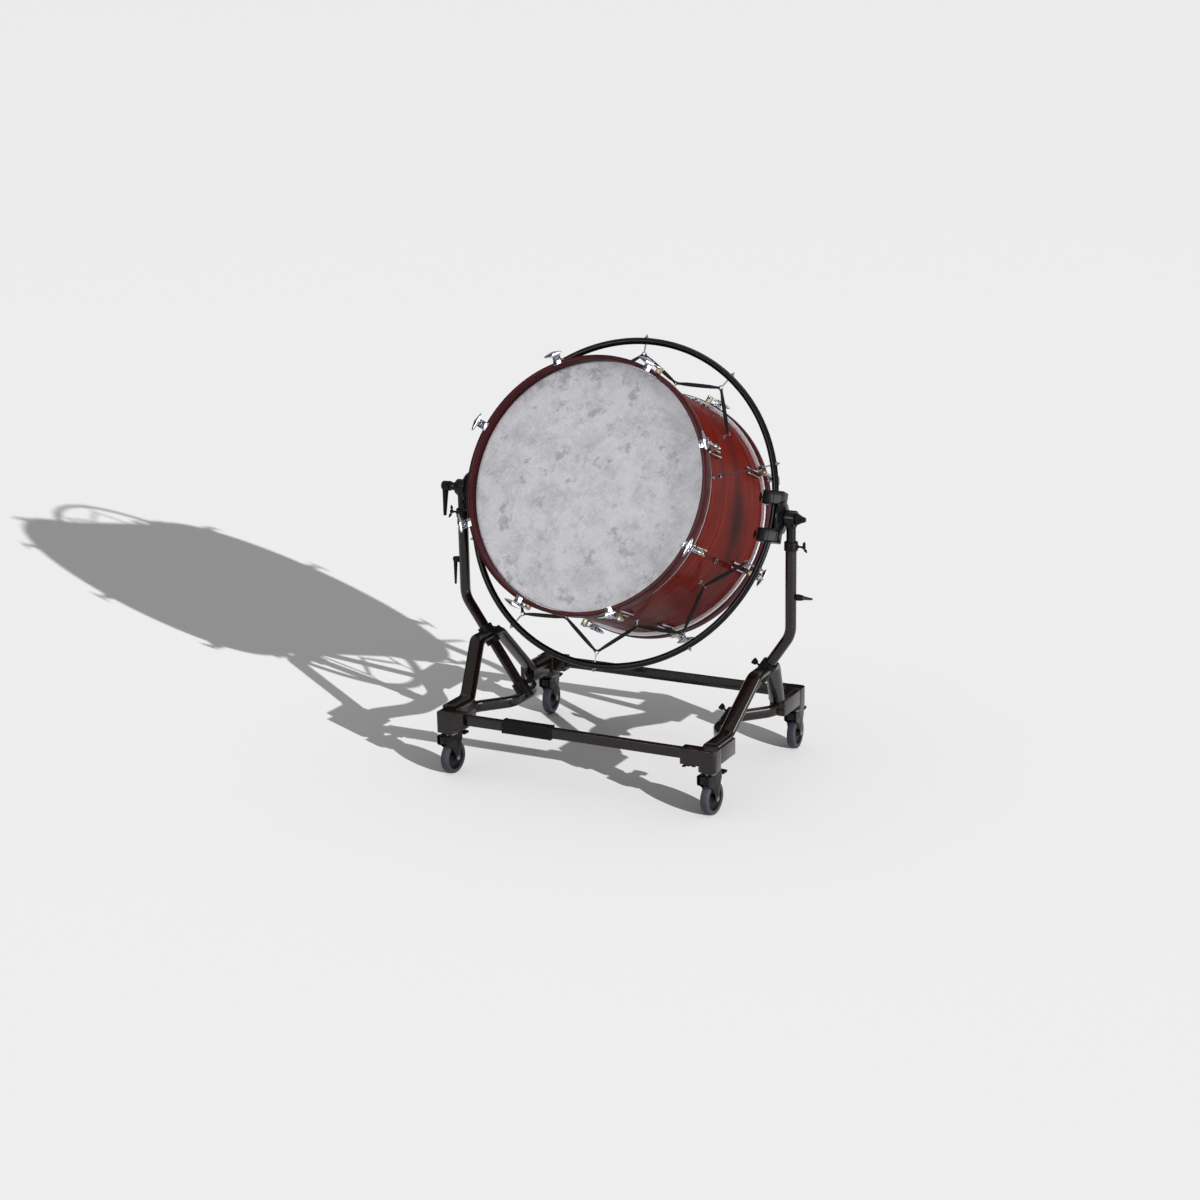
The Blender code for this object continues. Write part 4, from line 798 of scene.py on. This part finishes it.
def wingScrew(reach):
    # Screw along x with a rounded hub and two wings that spread like a bow
    w = wingShape
    forms = [lathe([(0, 0), (w["stem"], 0)] + [(r, reach + z) for r, z in w["head"]], 24, "X")]
    for way in (-1, 1):
        lean = turned(w["lean"] * way, "Y") @ turned(90, "X")
        place = Matrix.Translation((reach + w["wingAt"], 0, way * w["apart"]))
        forms.append(moved(leaf(*w["wing"]), place @ lean))
    return forms


def makePost(side):
    s = stand
    top = s["trunnion"] - s["postTop"]
    tube = [(0, s["postBottom"]), (s["post"] - s["chamfer"], s["postBottom"]),
            (s["post"], s["postBottom"] + s["chamfer"]), (s["post"], top), (0, top)]
    hub = rimmed(s["bore"], s["hub"], -s["hubHalf"], s["hubHalf"], s["rim"])
    weld = [(r, s["trunnion"] + z) for r, z in s["weld"]]
    forms = [lathe(tube, 48), shifted(lathe(hub, 56, "X"), 0, 0, s["trunnion"]), lathe(weld, 48)]
    onePiece(f"{side}Post", forms, [blackEnamel], f"post_{side}",
             Matrix.Translation((outward[side] * s["spread"], 0, 0)), f"trunnion_post_{side}")


tiltLever = {
    "neck": [(0.0095, 0.0188), (0.0150, 0.0188), (0.0155, 0.0198), (0.0155, 0.0518), (0.0095, 0.0518)],
    "hub": [(0, 0.0488), (0.0180, 0.0488), (0.0190, 0.0498), (0.0190, 0.0588), (0.0182, 0.0608),
            (0.0182, 0.0628), (0.0186, 0.0648), ((0.0120, 0.0788), 0.006, 15, 90, 5), (0, 0.0848)],
    "hubSteps": 40,
    "top": (0.0718, 0, 0.004), "foot": (0.0798, 0, -0.118), "arm": 0.118, "armSteps": 8, "armRadius": 0.0142,
    "armSides": 24, "thin": 0.55, "bend": 0.8, "rounding": (0.0025, 4, 50.0),
}
clampLever = {
    "turns": {"left": 0.0, "right": 73.0},      # degrees, where the levers rest
    "hub": [(0, 0), (0.0039, 0), (0.0039, 0.004), (0.0112, 0.0045), (0.0118, 0.0060), (0.0118, 0.016),
            (0.0110, 0.018), ((0.0065, 0.0265), 0.004, 30, 90, 4), (0, 0.0307)],
    "hubSteps": 32,
    "top": (0.0222, 0, 0), "foot": (0.0256, 0, -0.100), "arm": 0.1, "armSteps": 6, "armRadius": 0.0083,
    "armSides": 20, "thin": 0.5, "bend": 1.0, "rounding": (0.0015, 3, 50.0),
}


def leverForms(lever):
    # A turned hub, and an arm that loses the share thin of its girth on the way to its foot
    top, foot, steps = Vector(lever["top"]), Vector(lever["foot"]), lever["armSteps"]
    arm = sweep([top.lerp(foot, k / steps) for k in range(steps + 1)], (0, 1, 0),
                ringPoints(lever["armRadius"], lever["armSides"]))
    for vert in arm.verts:
        t = min(1.0, max(0.0, (top.z - vert.co.z) / lever["arm"]))
        middle = top.lerp(foot, t)
        vert.co = middle + (vert.co - middle) * (1.0 - lever["thin"] * t ** lever["bend"])
    return [lathe(lever["hub"], lever["hubSteps"], "X"), soften(arm, *lever["rounding"])]


def makeTiltLever():
    place = Matrix.Translation((-stand["spread"], 0, stand["trunnion"])) @ sideTurn["left"]
    neck = lathe(tiltLever["neck"], tiltLever["hubSteps"], "X")
    onePiece("tiltLever", [(neck, 1), *leverForms(tiltLever)], [blackNylon, blackEnamel], "tilt_lever", place,
             "tilt_lever")


def makeUpright(side):
    s = stand
    top = Vector((s["spread"], 0, s["collarTop"] - s["chamfer"]))
    corner = Vector((s["spread"], 0, s["bend"]))
    end = slantAt(slantLine()[1] + s["tubeEnd"])
    path = [top] + roundCorner(top, corner, end, s["bendRadius"], 16) + [end]
    low, high = s["collarTop"] - s["collarHeight"], s["collarTop"]
    collar = rimmed(s["post"] + s["play"], s["collar"], low, high, s["rim"])
    forms = [sweep(path, (0, 1, 0), ringPoints(s["tube"], 48)),
             (shifted(lathe(collar, 48), s["spread"], 0, 0), 1),
             (shifted(lathe(s["boss"], 28, "X"), s["spread"], 0, high - s["collarHeight"] / 2), 1)]
    onePiece(f"{side}Upright", forms, [hammerPaint, blackNylon], "base", sideTurn[side], f"upright_{side}")


def makeUprightLocks(side):
    s = stand
    x = outward[side] * s["screwTip"]
    place = Matrix.Translation((x, 0, s["collarTop"] - s["collarHeight"] / 2)) @ sideTurn[side]
    onePiece(f"{side}CollarScrew", wingScrew(s["screwReach"]), [blackNylon], f"collar_screw_{side}",
             place @ turned(s["screwTurn"], "X"), f"collar_screw_{side}")
    place = Matrix.Translation((x, 0, s["lever"])) @ sideTurn[side] @ turned(clampLever["turns"][side], "X")
    onePiece(f"{side}ClampLever", leverForms(clampLever), [blackNylon], f"clamp_lever_{side}", place,
             f"clamp_lever_{side}")


knobShape = {
    "profile": [(0, 0), (0.0039, 0), (0.0039, 0.019), (0.0085, 0.019), (0.0095, 0.021), (0.0122, 0.030),
                ((0.0105, 0.0350), 0.002, 0, 90, 4), (0.006, 0.0370), (0, 0.0362)],
    "grips": 6, "gripDepth": 0.10, "gripFrom": 0.008, "standOff": 0.0203, "footBack": 0.004,
}


def makeKnobs(side):
    n = knobShape
    line, length = slantLine()
    out = Vector((line.z, 0, -line.x))
    aim = out.to_track_quat("X", "Y").to_matrix().to_4x4()
    for name, reach in (("socket", socketReach()), ("foot", length - n["footBack"])):
        knob = lathe(n["profile"], 36, "X")
        for vert in knob.verts:      # finger grips round the head
            if math.hypot(vert.co.y, vert.co.z) > n["gripFrom"]:
                a = math.atan2(vert.co.z, vert.co.y)
                scale = 1.0 - n["gripDepth"] * max(0.0, math.cos(n["grips"] * a)) ** 2
                vert.co.y *= scale
                vert.co.z *= scale
        start = slantAt(reach) + out * n["standOff"]
        onePiece(f"{side}{name.capitalize()}Knob", knob, [blackNylon], f"{name}_knob_{side}",
                 sideTurn[side] @ Matrix.Translation(start) @ aim, f"{name}_knob_{side}")


for side in ("left", "right"):
    makeRingClamp(side)
    makePost(side)
    makeUpright(side)
    makeUprightLocks(side)
    makeKnobs(side)
makeTiltLever()
print("ring clamps, posts, uprights and locks made")


# The base

base = {
    "castorSpread": 0.533, "castorReach": 0.392, "corner": 0.070, "top": 0.250, "bottom": 0.168,
    "barReach": 0.399, "barWidth": 0.025, "barHeight": 0.038, "barCentre": 0.2245, "barIn": 0.045,
    "sleeveWall": 0.0093,
    "sleeveBottom": 0.190, "sleeveEnds": {"left": 0.455, "right": 0.432},
    "roundings": {"left": 0.005, "right": 0.018},      # the corner columns differ in the photograph
    "shift": -0.012, "armEnd": 0.228, "armInner": 0.505, "armBottom": 0.187, "step": 0.0015,
    "bowHeight": 0.046, "bowThickness": 0.024, "bowCentre": 0.2115, "bowIn": 0.418, "bowTurn": 0.208,
    "bowShoulder": 0.085, "bowBends": (0.10, 0.09),
    "legWidth": 0.060, "legThickness": 0.032, "footEnd": 0.374, "footTurn": 0.243, "topTurn": 0.080,
    "legTop": 0.436, "legBends": (0.045, 0.040), "sinks": {"front": 0.012, "rear": 0.028},
}
endWays = {"front": -1, "rear": 1}


def roundedOutline(low, high, radius, steps):
    points = []
    corners = ((high[0], high[1]), (low[0], high[1]), (low[0], low[1]), (high[0], low[1]))
    for quarter, (x, y) in enumerate(corners):
        middleX = x - math.copysign(radius, x - low[0] - radius)
        middleY = y - math.copysign(radius, y - low[1] - radius)
        for k in range(steps + 1):
            a = math.pi / 2 * (quarter + k / steps)
            points.append((middleX + radius * math.cos(a), middleY + radius * math.sin(a)))
    return points


def cornerForms(side, way):
    b = base
    half, spread, step = b["corner"] / 2, b["castorSpread"], b["step"]
    y = way * b["castorReach"]
    outline = roundedOutline((spread - half, y - half), (spread + half, y + half), b["roundings"][side], 6)
    column = prism([(px, py, b["bottom"]) for px, py in outline], (0, 0, b["top"] - b["bottom"]))
    face = y + way * (half - step)
    back = way * b["barReach"] - way * (b["barWidth"] / 2 + b["sleeveWall"])
    sleeve = block((b["sleeveEnds"][side], min(face, back), b["sleeveBottom"]),
                   (spread, max(face, back), b["top"] - 0.0005), 0.002)
    armFrom, armTo = sorted((way * b["armEnd"] + b["shift"], y))
    arm = block((b["armInner"], armFrom, b["armBottom"]), (spread + half - step, armTo, b["top"] - 0.001),
                0.003)
    return [soften(column, 0.002, 3, 50.0), sleeve, arm]


def bowForm():
    b = base
    z = b["bowCentre"]
    start = Vector((b["castorSpread"], -(b["castorReach"] - b["corner"] / 2 + 0.004), z))
    turn = Vector((b["castorSpread"] - 0.002, -b["bowTurn"], z))
    shoulder, middle = Vector((b["bowIn"] + 0.004, -b["bowShoulder"], z)), Vector((b["bowIn"], 0, z))
    half = [start] + roundCorner(start, turn, shoulder, b["bowBends"][0], 10)
    half += roundCorner(turn, shoulder, middle, b["bowBends"][1], 10)
    path = half + [Vector((p.x, -p.y, p.z)) for p in reversed(half)]
    return shifted(sweep(path, (0, 0, 1), flatOval(b["bowHeight"], b["bowThickness"], 8)), 0, b["shift"], 0)


def legForm():
    # The bent flat tube that stands as an A, leaning outward at its foot
    b = base
    path = []
    for end, way in endWays.items():
        foot = b["top"] + b["legThickness"] / 2 - b["sinks"][end]
        points = [Vector((0, way * b["footEnd"], foot)), Vector((0, way * b["footTurn"], foot)),
                  Vector((0, way * b["topTurn"], b["legTop"])), Vector((0, 0, b["legTop"]))]
        half = [points[0]] + roundCorner(*points[:3], b["legBends"][0], 10)
        half += roundCorner(*points[1:], b["legBends"][1], 10)
        path += half if way < 0 else reversed(half)
    form = sweep(path, (1, 0, 0), flatOval(b["legWidth"], b["legThickness"], 8))
    shear = Matrix.Identity(4)
    shear[0][2] = (stand["socketSpread"] - b["castorSpread"]) / (b["legTop"] - b["top"])
    lift = Matrix.Translation((b["castorSpread"], b["shift"], b["top"]))
    return moved(form, lift @ shear @ Matrix.Translation((0, 0, -b["top"])))


def sleeveRing(start, end):
    # A clamp collar round the slanted tube, with rounded rims
    line = end - start
    profile = rimmed(stand["tube"] + stand["play"], stand["socket"], 0, line.length, stand["rim"])
    place = Matrix.Translation(start) @ line.to_track_quat("Z", "Y").to_matrix().to_4x4()
    return moved(lathe(profile, 48), place)


def makeSideFrame(side):
    s = stand
    line, length = slantLine()
    forms = [legForm(), bowForm()] + cornerForms(side, -1) + cornerForms(side, 1)
    middle, foot = socketReach(), slantAt(length + s["footDown"])
    near, far = s["plug"]
    plug = bar(foot - line * near, foot - line * far, s["tube"] + 0.0002, sides=40)
    collars = [sleeveRing(slantAt(middle - s["socketHalf"]), slantAt(middle + s["socketHalf"])),
               sleeveRing(slantAt(length - s["footUp"]), foot), soften(plug, 0.001, 2)]
    for name, parts, material, slot in (("SideFrame", forms, hammerPaint, "hammered_enamel"),
                                        ("TubeCollars", collars, blackNylon, "black_plastic")):
        onePiece(side + name, [moved(form, mirror[side]) for form in parts], [material], "base", Matrix(),
                 f"side_frame_{side}")


gripSettings = {"from": -0.297, "to": -0.090, "wall": 0.0063, "ribs": (-0.292, -0.095), "ribHalf": 0.004,
                "ribHeight": 0.0008, "screwAt": 0.023, "screwTurn": 20.0, "screwSpare": 0.004}


def makeCrossbars():
    b, g = base, gripSettings
    end = b["castorSpread"] - b["corner"] / 2 + b["barIn"]
    wide, tall, z = b["barWidth"] / 2, b["barHeight"] / 2, b["barCentre"]
    for name, way in endWays.items():
        y = way * b["barReach"]
        tube = block((-end, y - wide, z - tall), (end, y + wide, z + tall), 0.0028, 4)
        onePiece(f"{name}Crossbar", tube, [hammerPaint], "base", Matrix(), f"crossbar_{name}")
    y = -b["barReach"]
    wide, tall = wide + g["wall"], tall + g["wall"]
    forms = [block((g["from"], y - wide, z - tall), (g["to"], y + wide, z + tall), 0.006, 5)]
    wide, tall = wide + g["ribHeight"], tall + g["ribHeight"]
    for x in g["ribs"]:      # a low rib round each end
        near, far = x - g["ribHalf"], x + g["ribHalf"]
        forms.append(block((near, y - wide, z - tall), (far, y + wide, z + tall), 0.006, 4))
    onePiece("gripSleeve", forms, [blackNylon], "base", Matrix(), "crossbar_sleeve")
    top = z - b["barHeight"] / 2 - stand["play"]
    place = Matrix.Translation((b["sleeveEnds"]["right"] + g["screwAt"], y, top))
    place = place @ turned(g["screwTurn"]) @ turned(90, "Y")
    screw = wingScrew(top - b["sleeveBottom"] + g["screwSpare"])
    onePiece("barScrew", screw, [blackNylon], "bar_screw", place, "bar_screw")


for side in ("left", "right"):
    makeSideFrame(side)
makeCrossbars()
print("base made")


# Castors, each in its own space with z up through the stem and y towards the pedal

castorSettings = {
    "radius": 0.0625, "trail": 0.014, "inside": 0.0205, "outside": 0.0245,
    "cheek": [(-0.050, 0.160), (0.045, 0.160), (0.046, 0.134), (0.039, 0.120), (0.028, 0.0785),
              (0.027, 0.0625)],
    "axleEye": (0.012, 0.011), "axleEyeTurns": (-20, -60, -90, -120, -160),      # goes round the axle below
    "cheekBack": [(0.001, 0.0685), (-0.014, 0.104), (-0.028, 0.116), (-0.046, 0.124), (-0.050, 0.130)],
    "rib": ((-0.010, 0.150), (0.013, 0.0785)), "ribSize": (0.0032, 0.0030),
    "crownHalf": 0.0239, "crownHeights": (0.130, 0.1594), "crownNose": (-0.030, 0.020), "crownEnd": 0.034,
    "stem": 0.006, "stemEnds": (0.1640, 0.2030), "axle": 0.004,
    "nut": (0.0068, -0.0010, 0.0038), "washer": (0.0088, -0.0012, 0.0010),      # radius, start, end
    "angles": {"front_left": -5.0, "front_right": -5.0, "rear_left": 5.0, "rear_right": 4.0},
    # Half profiles of the wheel, from its left face to the middle
    "tyre": [(0.0455, -0.0136), (0.0475, -0.01581), (0.0530, -0.01615),
             ((0.0540, -0.0075), 0.0085, -80, -12, 8)],
    "hub": [(0.0046, -0.017), (0.0118, -0.017), (0.0130, -0.0158), (0.0145, -0.01054), (0.0190, -0.0085),
            (0.0360, -0.0085), (0.0405, -0.01122), (0.0425, -0.01428), (0.0450, -0.01428), (0.0458, -0.01292)],
    "head": [(0, 0.158), (0.026, 0.158), (0.028, 0.1595), (0.028, 0.1620), (0.026, 0.1628), (0.026, 0.1638),
             (0.0285, 0.1650), (0.0285, 0.1677), (0, 0.1677)],
}


def wheelForm(half, middle):
    # A turned form that is the same on both faces of the wheel
    half = spelled(half)
    return lathe(half + middle + [(r, -x) for r, x in reversed(half)], 96, "X")


def forkForms():
    # Two cheeks with a rib, axle nut and washer each, the crown over them, the swivel head, stem and axle
    c = castorSettings
    y, z, inside, outside = c["trail"], c["radius"], c["inside"], c["outside"]
    eyeLong, eyeTall = c["axleEye"]
    eye = [(y + eyeLong * math.cos(a), z + eyeTall * math.sin(a)) for a in map(math.radians, c["axleEyeTurns"])]
    cheek = c["cheek"] + eye + c["cheekBack"]
    forms = []
    for way in (-1, 1):
        side = prism([(way * inside, *point) for point in cheek], (way * (outside - inside), 0, 0))
        path = [Vector((way * (outside - 0.0006), *point)) for point in c["rib"]]
        fixings = [bar((way * (outside + start), y, z), (way * (outside + end), y, z), r, sides=sides)
                   for (r, start, end), sides in ((c["nut"], 6), (c["washer"], 32))]
        forms += [soften(side, 0.0010, 3), sweep(path, (1, 0, 0), flatOval(*c["ribSize"], 4)),
                  (soften(fixings[0], 0.0006, 2), 1), (fixings[1], 1)]
    wide, (low, high), (noseAt, nose) = c["crownHalf"], c["crownHeights"], c["crownNose"]
    turns = [math.radians(a) for a in range(180, 361, 12)]
    crown = [(wide * math.cos(a), noseAt + nose * math.sin(a), low) for a in turns]
    crown += [(wide, c["crownEnd"], low), (-wide, c["crownEnd"], low)]
    forms.append(soften(prism(crown, (0, 0, high - low)), 0.004, 4, 40.0))
    forms.append((lathe(c["head"], 48), 1))
    bottom, top = c["stemEnds"]
    forms.append((bar((0, 0, bottom), (0, 0, top), c["stem"], sides=24), 1))
    forms.append((bar((-outside, y, z), (outside, y, z), c["axle"], sides=24), 1))
    return forms


# The brake pedal in its own space, with its pin along x through the middle
pedalSettings = {
    "pivot": (0.036, 0.141), "pin": 0.0048, "pinHalf": 0.0202,
    "arm": ((-0.015, 0.001, -0.001), (0.015, 0.033, 0.004)),
    "shoe": ((-0.019, 0.030, -0.005), (0.019, 0.060, 0.0052)),
    "ribs": (0.0348, 0.0408, 0.0468, 0.0528), "ribHalf": (0.015, 0.0012), "ribHeights": (0.0045, 0.0060),
}


def pedalForms():
    p = pedalSettings
    forms = [bar((-p["pinHalf"], 0, 0), (p["pinHalf"], 0, 0), p["pin"], sides=24), block(*p["arm"], 0.0012),
             block(*p["shoe"], 0.0024, 4)]
    (x, y), (low, high) = p["ribHalf"], p["ribHeights"]
    return forms + [block((-x, rib - y, low), (x, rib + y, high), 0.0005, 2) for rib in p["ribs"]]


def makeCastors():
    c = castorSettings
    tyre = meshOf("tyre", [wheelForm(c["tyre"], [(c["radius"], 0)])], [tyreRubber])
    hub = meshOf("hub", [wheelForm(c["hub"], [])], [blackNylon])
    fork = meshOf("fork", forkForms(), [blackEnamel, zinc])
    pedal = meshOf("pedal", pedalForms(), [blackNylon])
    axle = Matrix.Translation((0, c["trail"], c["radius"]))
    pin = Matrix.Translation((0, *pedalSettings["pivot"]))
    parts = (("Tyre", tyre, "wheel", "castor_wheel", axle, "grey_tyre"),
             ("Hub", hub, "wheel", "castor_wheel", axle, "black_plastic"),
             ("Fork", fork, "fork", "castor_fork", Matrix(), "black_enamel"),
             ("Brake", pedal, "brake", "castor_brake", pin, "black_plastic"))
    for corner, angle in c["angles"].items():
        end, side = corner.split("_")
        stem = Matrix.Translation((outward[side] * base["castorSpread"], endWays[end] * base["castorReach"], 0))
        for name, mesh, body, node, lift, slot in parts:
            addPiece(end + side.capitalize() + name, mesh, f"{body}_{corner}", stem @ turned(angle) @ lift,
                     f"{node}_{corner}")


makeCastors()
print("castors made")


# Floor, light and camera

room = {
    "floor": "#E6E6E6", "floorSize": 4000.0, "wall": "#F1F1F1",
    "high": "#FFFFFF", "low": "#17181A", "worldStrength": 0.5, "brightFrom": 0.3, "brightTo": 0.75,
    "sunStrength": 8.1, "sunAngle": 0.4, "sunTurn": 63.4, "sunHeight": 16.4,      # degrees
}
softboxes = {
    "frontSoftbox": {"place": (-1.5, -6.5, 4.0), "size": (3.5, 3.0), "watts": 225.0},
    "rightSoftbox": {"place": (6.0, -1.2, 1.5), "size": (2.6, 3.2), "watts": 300.0},
    "topSoftbox": {"place": (0.5, 1.5, 5.5), "size": (3.0, 3.0), "watts": 45.0},
}
drumCentre = Vector((0, 0, 1))      # where the softboxes point


def makeFloor():
    # Painted studio floor: matt, so it shows shadows and no reflections
    material = startMaterial("mattFloorPaint", {
        "Base Color": room["floor"], "Roughness": 0.9, "Specular IOR Level": 0.1})[0]
    mesh = bpy.data.meshes.new("floor")
    half = room["floorSize"] / 2
    corners = [(-half, -half, 0), (half, -half, 0), (half, half, 0), (-half, half, 0)]
    mesh.from_pydata(corners, [], [(0, 1, 2, 3)])
    mesh.materials.append(material)
    floor = bpy.data.objects.new("floor", mesh)
    bpy.context.scene.collection.objects.link(floor)
    floor.visible_diffuse = False      # the paint throws no light back under the drum
    return floor


def makeWorld():
    world = bpy.data.worlds.new("studio")
    bpy.context.scene.world = world
    world.use_nodes = True
    tree = world.node_tree
    upward = addNode(tree, "SeparateXYZ", {0: addNode(tree, "TexCoord").outputs["Generated"]})
    share = addNode(tree, "MapRange", {
        "Value": upward.outputs["Z"], "From Min": room["brightFrom"], "From Max": room["brightTo"]},
        interpolation_type="SMOOTHSTEP")
    glow = addNode(tree, "Mix", {0: share.outputs[0], 6: room["low"], 7: room["high"]}, data_type="RGBA")
    glowing = tree.nodes["Background"]
    tree.links.new(glow.outputs[2], glowing.inputs["Color"])
    glowing.inputs["Strength"].default_value = room["worldStrength"]
    # The eye meets a pale wall behind the floor, while the room stays dark in reflections
    wall = addNode(tree, "Background", {"Color": room["wall"], "Strength": 1.0})
    seen = addNode(tree, "MixShader", {
        0: addNode(tree, "LightPath").outputs["Is Camera Ray"], 1: glowing.outputs[0], 2: wall.outputs[0]})
    tree.links.new(seen.outputs[0], tree.nodes["World Output"].inputs["Surface"])


def makeLights(floor):
    # The low lamp lights only the floor and draws the long shadow. The softboxes light all but the floor.
    onlyFloor = bpy.data.collections.new("floorLight")
    onlyFloor.objects.link(floor)
    notFloor = bpy.data.collections.new("drumLight")
    notFloor.objects.link(floor)
    notFloor.collection_objects[0].light_linking.link_state = "EXCLUDE"
    lamp = bpy.data.lights.new("lowLamp", "SUN")
    lamp.energy = room["sunStrength"]
    lamp.angle = math.radians(room["sunAngle"])
    turn, height = math.radians(room["sunTurn"]), math.radians(room["sunHeight"])
    toLamp = Vector((math.cos(height) * math.sin(turn), -math.cos(height) * math.cos(turn), math.sin(height)))
    low = bpy.data.objects.new("lowLamp", lamp)
    low.rotation_euler = toLamp.to_track_quat("Z", "Y").to_euler()
    low.light_linking.receiver_collection = onlyFloor
    bpy.context.scene.collection.objects.link(low)
    for name, box in softboxes.items():
        lamp = bpy.data.lights.new(name, "AREA")
        lamp.shape = "RECTANGLE"
        lamp.size, lamp.size_y = box["size"]
        lamp.energy = box["watts"]
        soft = bpy.data.objects.new(name, lamp)
        soft.location = box["place"]
        soft.rotation_euler = (Vector(box["place"]) - drumCentre).to_track_quat("Z", "Y").to_euler()
        soft.visible_camera = False
        soft.light_linking.receiver_collection = notFloor
        bpy.context.scene.collection.objects.link(soft)


makeLights(makeFloor())
makeWorld()
bpy.context.scene.view_settings.view_transform = "Standard"

cameraSettings = {"place": (3.6182, -7.1625, 2.8580), "look": (-0.44337, 0.85572, -0.26677), "roll": -1.097,
                  "lens": 66.95, "sensor": 36.0, "clipEnd": 1000.0}


def makeCamera():
    c = cameraSettings
    data = bpy.data.cameras.new("camera")
    data.lens = c["lens"]
    data.sensor_width = c["sensor"]
    data.clip_end = c["clipEnd"]
    cam = bpy.data.objects.new("camera", data)
    aim = Vector(c["look"]).to_track_quat("-Z", "Y").to_matrix().to_4x4()
    cam.matrix_world = Matrix.Translation(c["place"]) @ aim @ turned(c["roll"])
    bpy.context.scene.collection.objects.link(cam)
    bpy.context.scene.camera = cam


makeCamera()
print("room and camera made")
